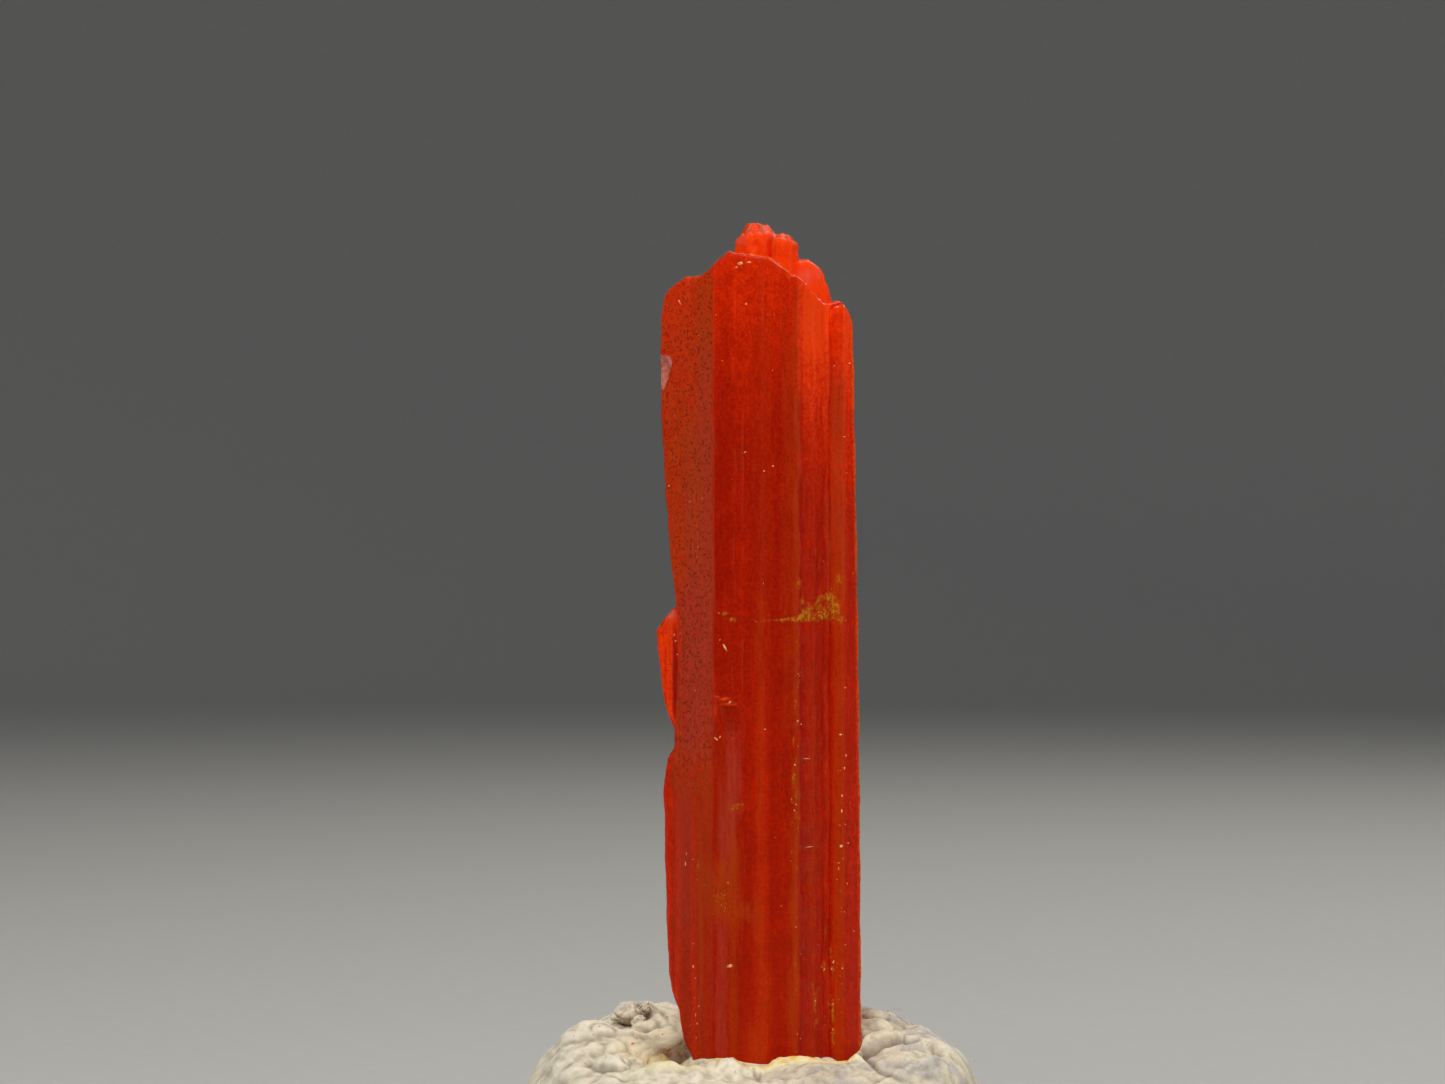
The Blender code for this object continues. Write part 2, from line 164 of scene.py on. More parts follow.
# Painted purple-grey sheen, a reflection on the left facet and in strips on the front
PAINTED_SHEEN_BANDS = (
    (-3.0, -1.9, 21.0, 33.5, 0.75, 0.15),
    (-3.4, -2.3, 20.5, 27.3, 0.55, 0.3),
    (-1.36, -0.72, 18.8, 21.5, 0.8, 0.07), (-1.66, -0.98, 16.0, 19.2, 0.8, 0.09),
    (-1.76, -1.32, 8.0, 14.6, 0.7, 0.06), (-2.45, -1.9, 24.0, 37.5, 0.8, 0.06),
    (-3.3, -2.7, 13.5, 19.3, 0.55, 0.15),
    (2.8, 3.3, 29.0, 36.0, 0.3, 0.08),
)
# Yellow crust, along the healed fracture and down the right-hand groove
CRUST_SPOTS = (
    (2.84, 26.98, 0.2, 0.24, 1.0), (3.0, 26.5, 0.22, 0.3, 0.9), (2.5, 26.32, 0.3, 0.2, 0.85),
    (2.3, 26.75, 0.28, 0.22, 0.6), (1.85, 26.38, 0.24, 0.22, 0.9), (1.6, 26.17, 0.2, 0.15, 0.9),
    (1.3, 26.15, 0.2, 0.09, 0.7), (0.9, 26.13, 0.3, 0.06, 0.6), (2.1, 26.17, 0.5, 0.12, 0.7),
    (3.12, 27.7, 0.14, 0.22, 0.6), (1.6, 27.6, 0.14, 0.22, 0.6), (3.15, 26.15, 0.2, 0.14, 0.7),
    (-1.42, 26.36, 0.2, 0.07, 0.8), (-1.12, 26.12, 0.14, 0.08, 0.8), (2.55, 27.05, 0.25, 0.12, 0.5),
    (1.75, 26.85, 0.16, 0.2, 0.5),
    (1.44, 25.1, 0.06, 0.2, 0.5), (1.4, 24.5, 0.05, 0.22, 0.5), (1.47, 23.7, 0.06, 0.24, 0.5),
    (1.36, 22.9, 0.05, 0.26, 0.5), (1.44, 22.1, 0.06, 0.22, 0.5), (1.32, 21.4, 0.06, 0.2, 0.5),
    (1.43, 20.6, 0.06, 0.24, 0.5), (1.28, 19.8, 0.08, 0.26, 0.6), (1.4, 19.2, 0.1, 0.2, 0.6),
    (1.2, 18.9, 0.1, 0.16, 0.5), (1.36, 18.4, 0.08, 0.22, 0.6), (1.47, 17.9, 0.06, 0.2, 0.5),
    (1.4, 17.3, 0.06, 0.24, 0.5), (1.25, 16.9, 0.07, 0.14, 0.5), (1.44, 16.2, 0.06, 0.24, 0.5),
    (1.36, 15.4, 0.06, 0.3, 0.45), (1.4, 14.4, 0.05, 0.3, 0.4), (1.47, 13.4, 0.05, 0.3, 0.4),
    (1.36, 12.6, 0.05, 0.26, 0.4), (1.43, 11.6, 0.05, 0.3, 0.35),
    (-1.1, 18.72, 0.17, 0.1, 0.75), (-0.8, 18.84, 0.2, 0.05, 0.6), (-1.3, 15.0, 0.25, 0.3, 0.3),
    (2.62, 13.7, 0.07, 0.3, 0.55), (2.78, 12.9, 0.08, 0.25, 0.6), (2.55, 12.3, 0.1, 0.2, 0.55),
    (2.86, 12.2, 0.06, 0.4, 0.6), (2.3, 11.5, 0.14, 0.14, 0.4), (2.75, 10.9, 0.07, 0.3, 0.5),
    (2.6, 10.1, 0.06, 0.3, 0.45), (-2.5, 16.4, 0.06, 0.5, 0.5), (-1.4, 15.5, 0.15, 0.4, 0.35),
    (-1.7, 15.2, 0.2, 0.3, 0.3),
    (-0.6, 14.8, 0.3, 0.2, 0.25), (2.15, 10.9, 0.08, 0.4, 0.8), (2.22, 10.1, 0.06, 0.25, 0.7),
    (2.9, 10.5, 0.07, 0.45, 0.9), (2.92, 9.5, 0.06, 0.4, 0.8), (2.05, 11.6, 0.07, 0.25, 0.6),
)
# Painted highlights on the growths behind the slab
KNOB_HIGHLIGHT_SPOTS = (
    (1.95, 39.95, 0.38, 0.16, 0.55), (-0.75, 41.35, 0.18, 0.12, 0.4), (0.2, 41.75, 0.35, 0.12, 0.4),
    (0.55, 41.45, 0.12, 0.1, 0.4), (2.72, 38.72, 0.12, 0.14, 0.5),
)
# Painted orange glow and highlights on the small growth's ridges, the tips and the upper right
PAINTED_ORANGE_SPOTS = (
    (-1.5, 22.98, 0.16, 0.05, 0.8), (-1.25, 22.78, 0.22, 0.04, 0.7), (-1.8, 22.6, 0.06, 0.4, 0.4),
    (-1.45, 22.98, 0.2, 0.05, 0.6), (-1.2, 22.8, 0.12, 0.05, 0.6),
    (-1.02, 22.76, 0.08, 0.05, 0.5), (-0.1, 39.9, 1.6, 0.35, 0.2),
    (3.35, 37.3, 0.4, 1.6, 0.4), (2.35, 38.95, 0.3, 0.14, 0.7), (3.1, 39.05, 0.25, 0.12, 0.7),
    (-3.6, 26.1, 0.35, 0.12, 0.9), (-3.3, 25.5, 0.15, 0.4, 0.4),
)
# Where painted glint grains are scattered, as bands
SPARKLE_BANDS = (
    (2.98, 3.36, 8.8, 21.5, 0.6, 0.04),
    (2.6, 3.2, 9.5, 13.5, 0.25, 0.15),
    (-2.75, -2.45, 8.8, 17.0, 0.4, 0.05),
    (1.22, 1.5, 8.8, 24.0, 0.25, 0.06),
    (-3.1, -2.3, 27.0, 39.0, 0.06, 0.2),
)
# Painted glints: bright flakes on the front, as (x, height, length, width, turn in degrees)
GLINT_FLAKES = (
    (-1.41, 25.05, 0.36, 0.09, -62), (-1.75, 21.42, 0.26, 0.08, -35), (-1.6, 21.5, 0.12, 0.06, 60),
    (-1.2, 22.88, 0.16, 0.12, 10), (-3.2, 38.75, 0.26, 0.06, -60), (-0.8, 40.2, 0.24, 0.14, 5),
    (-0.95, 40.05, 0.14, 0.1, 30), (-0.45, 40.25, 0.2, 0.09, -8), (-0.57, 38.6, 0.1, 0.08, 0),
    (-0.61, 32.75, 0.14, 0.05, 30), (0.5, 32.2, 0.09, 0.06, 0), (0.14, 32.0, 0.1, 0.07, 20),
    (-2.8, 30.8, 0.09, 0.06, 0), (-3.42, 25.5, 0.16, 0.05, 70), (-3.36, 25.25, 0.12, 0.05, 40),
    (3.38, 23.4, 0.1, 0.08, 0), (1.6, 22.0, 0.08, 0.06, 0), (0.18, 21.8, 0.08, 0.06, 0),
    (3.42, 20.7, 0.08, 0.13, 0), (3.35, 20.2, 0.06, 0.14, 0), (3.26, 19.1, 0.08, 0.14, 0),
    (3.24, 18.5, 0.06, 0.16, 0), (3.22, 17.1, 0.14, 0.12, 20), (3.12, 16.2, 0.06, 0.16, 0),
    (-2.93, 16.8, 0.05, 0.16, 0), (-2.97, 16.4, 0.05, 0.2, 0), (-2.66, 12.35, 0.08, 0.16, 0),
    (-2.58, 11.9, 0.12, 0.06, 40), (2.92, 12.5, 0.08, 0.18, -15), (2.84, 12.2, 0.06, 0.14, -20),
    (2.55, 12.2, 0.1, 0.06, 30), (-1.2, 12.45, 0.26, 0.16, 10), (1.36, 20.4, 0.06, 0.1, 0),
    (1.85, 20.62, 0.4, 0.04, -2), (1.92, 17.12, 0.5, 0.04, 3), (1.4, 14.0, 0.07, 0.05, 0),
    (3.47, 15.6, 0.05, 0.1, 0), (3.5, 17.2, 0.06, 0.06, 0), (1.34, 18.6, 0.06, 0.08, 0),
    (2.9, 10.8, 0.06, 0.14, 0), (2.18, 11.0, 0.07, 0.07, 20), (2.88, 9.8, 0.05, 0.12, 0),
    (-2.56, 10.45, 0.06, 0.2, -8), (-2.5, 10.1, 0.05, 0.12, 0), (-2.44, 10.8, 0.05, 0.1, 0),
    (2.36, 38.86, 0.14, 0.07, -30), (3.06, 38.55, 0.12, 0.07, 20), (3.33, 38.6, 0.06, 0.12, 0),
)
# Painted highlights on the left edge and on the spur's top
EDGE_HIGHLIGHT_SPOTS = (
    (-3.78, 14.3, 0.1, 0.4, 0.35), (-3.86, 17.3, 0.08, 0.7, 0.35), (-3.6, 26.25, 0.3, 0.08, 0.6),
    (-3.4, 26.4, 0.2, 0.08, 0.6),
)


@dataclass
class Rod:
    """One of the parallel rods that grew together, with how finely it is cut into a mesh."""

    name: str
    left: object
    right: object
    front: float
    back: float
    front_flat: tuple
    back_flat: tuple
    crown: object
    lean: tuple = (0.0, -0.2)
    shoulder: float = 0.25
    flat_share: float = 0.4
    foot: float = FOOT
    across: float = 0.1
    up: float = 0.3
    rib_width: float = 0.42
    rib_depth: float = 0.045
    edge_waver: tuple = (0.02, 0.02)
    jag: float = 0.03
    tip_rough: float = 0.07
    rim_round: float = 0.05
    lobes: float = 0.0
    tip_rings: int = 9
    plain_faces: tuple = ()
    fine_heights: tuple = ()


def bar(name, x_range, y_range, crown, lean=(0.0, -0.2), shoulder=0.25, foot=FOOT, **more):
    """A plain rod, whose front and back faces each take an uneven middle part of its width."""
    x0, x1 = x_range
    rng = random.Random(name)
    inset = [rng.uniform(*BAR_INSET) * (x1 - x0) for _ in range(4)]
    front = (x0 + inset[0], x1 - inset[1])
    back = (x0 + inset[2], x1 - inset[3])
    return Rod(name, x0, x1, *y_range, front, back, crown, lean, shoulder, foot=foot, **more)


SLAB = Rod(
    "front_slab", LEFT_EDGE, tuple((z, x - SLAB_INSET) for z, x in RIGHT_EDGE), -2.9, 0.95,
    (-1.88, 1.47), (-2.9, 2.6), TOP_EDGE, lean=(0.0, -0.22), shoulder=0.12, flat_share=0.8,
    across=0.07, up=0.13, rib_width=0.36, rib_depth=0.045, edge_waver=(0.015, 0.06), jag=0.045,
    tip_rings=34, plain_faces=(2, 3, 4, 5),
    fine_heights=((25.7, 27.4, 0.07), (22.5, 23.3, 0.05), (21.4, 22.5, 0.1)),
)

GROWN_ON = (
    Rod("right_finger", 2.7, RIGHT_EDGE, -1.8, 0.35, (2.9, 3.32), (3.1, 3.4), FINGER_TOP,
        shoulder=0.1, flat_share=0.3, foot=5.1, across=0.06, up=0.16, rib_width=0.3,
        rib_depth=0.03, plain_faces=(3, 4, 5), rim_round=0.14, lobes=0.03),
    Rod("left_spur", SPUR_EDGE, -2.6, -1.75, 0.1, (-3.2, -2.8), (-3.2, -2.8), SPUR_TOP,
        lean=(0.0, -0.1), shoulder=0.08, flat_share=0.3, foot=21.4, across=0.05, up=0.12,
        rib_width=0.18, rib_depth=0.06, rim_round=0.18, lobes=0.04),
    Rod("left_root", ROOT_EDGE, -2.3, -1.45, 0.75, (-3.0, -2.5), (-3.0, -2.5), 21.4,
        lean=(0.5, -0.1), shoulder=0.3, flat_share=0.3, foot=9.7, across=0.06, up=0.15),
    bar("main_knob", (-1.0, 0.84), (-0.35, 1.75), 42.1, (0.05, -0.12), 0.45, foot=30.2,
        across=0.05, up=0.1, rim_round=0.3, lobes=0.09, jag=0.06, tip_rings=14),
    bar("side_knob", (0.46, 1.52), (-0.6, 1.25), 41.65, (-0.15, -0.1), foot=31.3,
        across=0.05, up=0.1, rim_round=0.24, lobes=0.07, jag=0.06, tip_rings=12),
    bar("low_knob", (1.12, 2.88), (-0.5, 1.5), LOW_KNOB_TOP, (0.0, -0.12), 0.1, foot=4.9,
        across=0.06, up=0.14, rim_round=0.25, lobes=0.05, jag=0.04, tip_rings=12),
    bar("back_left", (-3.05, -1.0), (-0.2, 2.35), 37.4, (0.22, -0.3), foot=6.1),
    bar("back_middle", (-1.45, 0.75), (0.9, 2.95), 39.2, (0.1, -0.45), 0.4, foot=4.7),
    bar("back_right", (0.5, 2.35), (0.8, 2.7), 36.3, (-0.35, -0.25), foot=5.2),
    bar("right_back", (1.9, 3.62), (-0.3, 2.05), 34.8, (-0.5, -0.2), 0.4, foot=5.7),
    bar("left_rib", (-2.35, -0.95), (1.5, 2.75), 33.1, (0.3, -0.5), 0.3, foot=6.6),
    bar("thin_rib", (0.15, 0.95), (2.2, 3.0), 30.4, (0.3, -0.6), 0.2, foot=5.4),
)

# Broken-out places, as (centre, radii)
CHIPS = {
    "left_chip": ((-4.2, -1.2, 36.1), (0.62, 0.7, 0.75)),
    "left_nick": ((-3.86, -1.0, 30.3), (0.26, 0.3, 0.24)),
    "crown_notch": ((-2.15, -3.0, 40.05), (0.2, 0.5, 0.3)),
    "front_pit": ((-1.12, -3.12, 21.9), (0.3, 0.34, 0.7)),
    "right_step": ((4.22, -0.6, 25.9), (0.36, 0.9, 0.8)),
    "foot_break": ((3.4, -1.9, 3.9), (1.6, 1.5, 1.5)),
    "heel_break": ((-1.6, 2.6, 3.8), (1.9, 1.6, 1.7)),
}
CHIP_RIPPLE = 0.035
# The small arched growth on the front, as two ridges of (x, height) points
GROWTH_RIDGES = (
    ((-1.8, 22.85), (-1.72, 23.06), (-1.44, 22.95), (-1.3, 23.0), (-1.15, 22.86)),
    ((-1.5, 22.74), (-1.25, 22.8), (-0.95, 22.76)),
)
GROWTH_HOLLOW = (-1.25, 22.32, 0.3, 0.4)
GROWTH_WIDTH = 0.055
GROWTH_HEIGHT = 0.07

# ---- The putty's sizes, as in its solid ----

PUTTY_CENTRE = (0.0, 0.2)
PUTTY_REACH = {"left": 10.5, "right": 9.9, "front": 9.0, "back": 9.3}
PUTTY_PROFILE = (
    (0.4, 10.0), (0.5, 9.95), (0.6, 9.8), (0.7, 9.4), (0.77, 8.95), (0.83, 8.35), (0.88, 7.5),
    (0.94, 6.3), (0.985, 4.8), (1.0, 3.6), (0.985, 2.2), (0.94, 1.0), (0.89, 0.3), (0.87, 0.0),
)
# The profile's upper side, and the share of the reach and the height where it turns down
PUTTY_CROWN = PUTTY_PROFILE[:10]
PUTTY_TURN = 0.82
PUTTY_WIDEST = 3.6
RIM_FADE = 0.25
# Broad hollows and rises, as (x, y, half width, height)
PUTTY_PRESSES = {
    "front_dip": (0.3, -5.2, 3.4, -1.75),
    "left_front_dip": (-5.4, -4.2, 2.0, -0.5),
    "left_hollow": (-4.4, -1.0, 1.2, -1.3),
    "left_crown": (-4.9, 3.0, 0.9, 0.5),
    "right_crown": (4.6, 2.8, 1.4, 0.15),
    "right_fold": (6.1, -1.2, 0.9, -0.45),
}
# Smaller ones by the crystal's foot
PUTTY_DENTS = (
    (3.7, -2.4, 0.95, -0.95), (4.6, -1.4, 0.6, -0.3), (-3.7, -2.7, 0.5, -1.1),
    (-3.1, -3.3, 0.4, -0.5), (-3.5, -4.3, 0.6, 0.3), (-5.0, -2.7, 0.45, 0.35),
    (-5.7, -1.5, 0.4, 0.3), (-4.7, -1.7, 0.3, 0.25), (-4.3, -0.4, 0.35, 0.3),
    (-5.3, -0.3, 0.3, -0.25), (-6.4, -2.6, 0.4, -0.25), (-4.2, -3.4, 0.3, 0.2),
    (-1.7, -3.8, 0.45, 0.22), (-0.9, -3.7, 0.4, 0.12), (0.4, -3.7, 0.5, -0.12),
    (2.2, -4.0, 0.7, 0.12), (-6.9, -0.6, 0.5, -0.3), (-7.4, 1.0, 0.6, 0.25),
    (5.6, 0.4, 0.5, -0.25), (6.8, 0.6, 0.5, 0.2), (4.9, 0.3, 0.35, 0.2), (7.3, -2.8, 0.7, 0.2),
    (5.2, -3.6, 0.5, 0.2), (-3.02, -2.6, 0.24, -0.7), (-4.9, -3.2, 0.8, -0.25),
    (-3.25, -1.1, 0.3, -1.3), (-5.4, 1.9, 0.42, -0.42), (-4.66, 2.1, 0.22, -0.35),
    (6.6, -0.2, 0.5, 0.2),
)
# The lip that hides the crystal's foot, as (x, height), with where it runs and how wide it is
LIP_LINE = (
    (-2.66, 8.72), (-2.19, 8.76), (-1.95, 8.92), (-1.6, 8.97), (-1.09, 8.96), (-0.81, 8.84),
    (-0.62, 8.72), (0.0, 8.64), (0.37, 8.68), (0.76, 8.84), (1.15, 8.92), (2.73, 8.84),
    (3.4, 8.8), (3.62, 9.0), (3.98, 9.2),
)
LIP_AT = -3.42
LIP_WIDTH = 0.42
LIP_START = (-3.1, -2.5)
LIP_END = (3.7, 4.3)
# Pellets half sunk in the putty, as (x, y, half length, half width, turn in degrees, rise)
PUTTY_PELLETS = (
    (-3.98, -1.5, 0.52, 0.5, 8, 0.6), (-5.95, -3.55, 0.85, 0.32, -32, 0.42),
    (-5.35, -3.35, 0.18, 0.36, -15, 0.2), (-4.75, -3.0, 0.2, 0.16, 0, 0.12),
    (4.9, -0.95, 0.9, 0.55, 12, 0.26), (4.7, 1.2, 0.5, 0.42, -10, 0.25),
    (-4.7, 1.2, 0.6, 0.35, 20, 0.16), (-6.3, 0.4, 0.5, 0.3, -15, 0.14),
    (6.4, 0.9, 0.6, 0.4, 30, 0.12), (-2.6, 3.6, 0.5, 0.35, 0, 0.14), (2.4, 3.9, 0.6, 0.4, 20, 0.14),
)
# Painted dark brown shadows in the putty's hollows, beside the crystal's foot and under the crumbs
# and folds, as (x, y, half width, half depth, strength)
PUTTY_PAINTED_SHADOWS = (
    (-3.1, -0.8, 0.36, 1.0, 1.3), (-3.75, -0.35, 0.65, 0.6, 1.0), (-3.95, -1.35, 0.62, 0.6, 1.0),
    (2.3, -4.9, 1.3, 0.9, 0.22),
    (-4.66, 2.1, 0.34, 0.3, 0.8), (-5.6, 1.5, 0.3, 0.16, 0.7),
    (-4.9, 1.45, 0.3, 0.14, 0.7), (-3.9, -2.1, 0.5, 0.14, 0.7), (-5.7, -3.0, 0.7, 0.12, 0.5),
    (4.2, -1.5, 0.5, 0.16, 0.6), (5.3, -1.3, 0.6, 0.14, 0.5), (3.9, 2.0, 0.5, 0.6, 0.5),
)
# Painted yellow-orange light thrown by the crystal, as (x, y, half width, half depth, strength)
PUTTY_CRYSTAL_LIGHT_SPOTS = (
    (-4.6, -1.7, 1.3, 1.6, 0.75), (-3.75, -2.2, 0.5, 1.0, 0.6), (-3.5, -4.25, 1.2, 0.35, 0.9),
)
# Creases and rolled ridges, as (points, width, height, step): a ridge is a height, a fold a step
PUTTY_FOLDS = (
    (((4.0, -2.6), (5.3, -1.9), (6.9, -1.2), (8.2, -1.5)), 0.28, 0.0, 0.32),
    (((-2.2, -4.6), (-4.0, -4.4), (-6.0, -3.4), (-7.4, -1.5)), 0.55, 0.06, 0.0),
    (((4.1, -1.55), (4.6, -1.45), (5.4, -1.3), (6.4, -0.9)), 0.14, -0.3, 0.1),
    (((-6.6, -0.2), (-5.6, 0.3), (-4.6, 0.5), (-3.9, 0.4)), 0.1, -0.05, 0.03),
    (((-3.6, 1.3), (-4.6, 0.9), (-6.0, 1.2), (-7.2, 2.4)), 0.2, -0.16, 0.12),
    (((-5.9, -2.2), (-5.0, -0.6), (-4.2, 0.4)), 0.18, -0.1, 0.08),
    (((0.0, -4.0), (1.4, -4.4), (3.2, -4.1), (4.6, -3.3)), 0.5, 0.16, 0.0),
    (((-1.6, -3.7), (-0.9, -3.95), (-0.3, -3.8)), 0.35, 0.2, 0.0),
    (((4.4, 1.4), (5.8, 2.4), (7.4, 2.6)), 0.2, -0.1, 0.1),
    (((-2.0, 4.2), (0.6, 4.8), (3.0, 4.3)), 0.4, 0.12, 0.0),
    (((-8.2, -3.0), (-7.0, -5.4), (-4.6, -7.0)), 0.4, -0.12, 0.06),
    (((3.0, -6.8), (5.6, -5.6), (7.6, -3.2)), 0.35, -0.1, 0.06),
)
# Winding creases, as (size, seed, width)
LONG_CREASES = (3.4, 5, 0.03)
SHORT_CREASES = (1.5, 12, 0.14)
# Rolled crumbs, as (centre, radii, turn)
PUTTY_CRUMBS = (
    ((-5.36, 1.95, 10.0), (0.52, 0.42, 0.46), 0.3),
    ((-4.64, 2.05, 10.2), (0.15, 0.16, 0.22), -0.4),
    ((-4.93, 1.7, 9.66), (0.3, 0.25, 0.28), 0.9),
    ((-5.86, 1.9, 9.82), (0.2, 0.2, 0.14), 0.1),
    ((5.1, 1.9, 9.85), (0.32, 0.2, 0.16), 0.4),
)
# How finely the putty is cut, and how it meets the crystal's foot
PUTTY_COLUMNS = 480
PUTTY_WALL_ROWS = 14
PUTTY_TOP_ROWS = 92
PUTTY_SIDE_ROWS = 46
HUG_GAP = 0.02
HUG_FROM = 12.0
SOCKET_FLOOR = FOOT - 0.3
HAIR_STEPS = 22


# ---- Small tools ----


def along(profile, at):
    """The values of a profile of (position, value) points. A plain number is itself."""
    if isinstance(profile, (int, float)):
        return np.full_like(at, profile)
    xs, ys = zip(*profile)
    return np.interp(at, xs, ys)


def smooth(edge0, edge1, x):
    """0 below the first edge, 1 above the second, and a smooth rise between them."""
    t = np.clip((x - edge0) / (edge1 - edge0), 0.0, 1.0)
    return t * t * (3 - 2 * t)


def ridge(distance, width):
    """1 on a line, and falling softly to 0 away from it."""
    return np.exp(-((distance / width) ** 2))


def mound(x, y, at_x, at_y, half_x, half_y):
    """A soft-edged round mark, 1 at its middle."""
    return np.exp(-(((x - at_x) / half_x) ** 2) - ((y - at_y) / half_y) ** 2)


def mounds(x, y, table):
    """The sum of round marks, each as (x, y, half width, half height, strength)."""
    total = np.zeros(len(x))
    for *place, strength in table:
        total += strength * mound(x, y, *place)
    return total


def bands(x, z, table):
    """The sum of upright strips, each as (left, right, low, high, strength, softness)."""
    total = np.zeros(len(x))
    for x0, x1, z0, z1, strength, soft in table:
        total += strength * (
            smooth(x0 - soft, x0 + soft, x)
            * (1 - smooth(x1 - soft, x1 + soft, x))
            * smooth(z0 - BAND_FADE, z0 + BAND_FADE, z)
            * (1 - smooth(z1 - BAND_FADE, z1 + BAND_FADE, z))
        )
    return total


def waver(z, seed, reach, length):
    """A slow sideways waver along the crystal, from three sines."""
    rng = random.Random(seed)
    total = np.zeros_like(z)
    for share, stretch in ((1.0, 1.0), (0.5, 0.43), (0.3, 0.19)):
        total += share * np.sin(2 * np.pi * z / (length * stretch) + rng.uniform(0, 2 * np.pi))
    return reach * total / 1.3


def lumpy(points, size, seed, octaves=1):
    """Smooth noise, about -1 to 1, at an array of points."""
    shift = Vector((13.7 * seed, 5.3 * seed, 7.9 * seed))
    out = np.empty(len(points))
    for i, p in enumerate(points):
        place = Vector(p) / size + shift
        value = noise.noise(place)
        for k in range(1, octaves):
            value += noise.noise(place * 2.1**k) * 0.5**k
        out[i] = value
    return out


def polyline_distance(x, y, points):
    """The distance to a line of points, with a sign for its two sides, and the share along it."""
    best = np.full_like(x, np.inf)
    signed = np.zeros_like(x)
    place = np.zeros_like(x)
    count = len(points) - 1
    for k, ((ax, ay), (bx, by)) in enumerate(zip(points, points[1:])):
        dx, dy = bx - ax, by - ay
        t = np.clip(((x - ax) * dx + (y - ay) * dy) / (dx * dx + dy * dy), 0.0, 1.0)
        ox, oy = x - ax - t * dx, y - ay - t * dy
        d = np.hypot(ox, oy)
        nearer = d < best
        best = np.where(nearer, d, best)
        signed = np.where(nearer, np.sign(dx * oy - dy * ox) * d, signed)
        place = np.where(nearer, (k + t) / count, place)
    return best, signed, place


def linked(name, data):
    """A named object in the scene."""
    obj = bpy.data.objects.new(name, data)
    bpy.context.scene.collection.objects.link(obj)
    return obj


def mesh_from(name, points, faces):
    """A named object from points in millimetres."""
    mesh = bpy.data.meshes.new(name)
    mesh.from_pydata((np.asarray(points) * MM).tolist(), [], faces)
    mesh.update()
    return linked(name, mesh)


def ring_solid(name, rings, below, above):
    """A closed solid from rings of points, the lowest first, with a point that closes each end."""
    count, across = rings.shape[:2]
    i = np.arange(across)
    j = (i + 1) % across
    faces = []
    for row in range(count - 1):
        a = row * across
        b = a + across
        faces += np.stack([a + i, a + j, b + j, b + i], axis=1).tolist()
    low = count * across
    high = low + 1
    top = (count - 1) * across
    faces += [(int(q), int(p), low) for p, q in zip(i, j)]
    faces += [(int(top + p), int(top + q), high) for p, q in zip(i, j)]
    return mesh_from(name, np.vstack([rings.reshape(-1, 3), [below], [above]]), faces)


def ball(cuts):
    """The points and faces of a ball with a radius of 1."""
    bm = bmesh.new()
    bmesh.ops.create_icosphere(bm, subdivisions=cuts, radius=1.0)
    bm.verts.index_update()
    points = [v.co.copy() for v in bm.verts]
    faces = [tuple(v.index for v in f.verts) for f in bm.faces]
    bm.free()
    return points, faces


def finished_mesh(obj):
    """Puts the result of an object's modifiers in its own mesh, and takes the modifiers off."""
    bpy.context.view_layer.update()
    evaluated = obj.evaluated_get(bpy.context.evaluated_depsgraph_get())
    made = bpy.data.meshes.new_from_object(evaluated)
    obj.modifiers.clear()
    obj.data = made
    return obj


def read_rows(items, name, width, kind=float):
    """One property of all of a mesh's vertices or edges, as rows of numbers."""
    flat = np.empty(len(items) * width, dtype=kind)
    items.foreach_get(name, flat)
    return flat.reshape(-1, width)


def shape_of(mesh):
    """A mesh's vertex places in millimetres, its vertex normals and its edges."""
    return (read_rows(mesh.vertices, "co", 3) / MM, read_rows(mesh.vertex_normals, "vector", 3),
            read_rows(mesh.edges, "vertices", 2, np.int64))


def store(mesh, values_by_name):
    """Keeps one value for each vertex under each name, for the materials to read."""
    for name, values in values_by_name.items():
        made = mesh.attributes.new(name, "FLOAT", "POINT")
        made.data.foreach_set("value", np.asarray(values, dtype=np.float32))


def shade_smooth(mesh):
    mesh.polygons.foreach_set("use_smooth", [True] * len(mesh.polygons))


def ray_tree(mesh):
    """A mesh's faces, sorted for finding where rays meet them."""
    faces = [tuple(f.vertices) for f in mesh.polygons]
    return BVHTree.FromPolygons([v.co for v in mesh.vertices], faces)


def spread(values, edges, rounds):
    """Evens out values over a mesh, each with its neighbours'."""
    for _ in range(rounds):
        total = values.copy()
        count = np.ones(len(values))
        for a, b in ((0, 1), (1, 0)):
            np.add.at(total, edges[:, a], values[edges[:, b]])
            np.add.at(count, edges[:, a], 1.0)
        values = total / count
    return values


def edge_bends(mesh):
    """How strongly the surface bends out (positive) or in (negative) at each vertex."""
    bm = bmesh.new()
    bm.from_mesh(mesh)
    bends = np.zeros(len(bm.verts))
    for edge in bm.edges:
        if len(edge.link_faces) != 2:
            continue
        angle = edge.calc_face_angle_signed(0.0)
        for v in edge.verts:
            if abs(angle) > abs(bends[v.index]):
                bends[v.index] = angle
    bm.free()
    return bends


# ---- The crystal ----


def top_of(rod):
    return max(height for _, height in rod.crown) if isinstance(rod.crown, tuple) else rod.crown


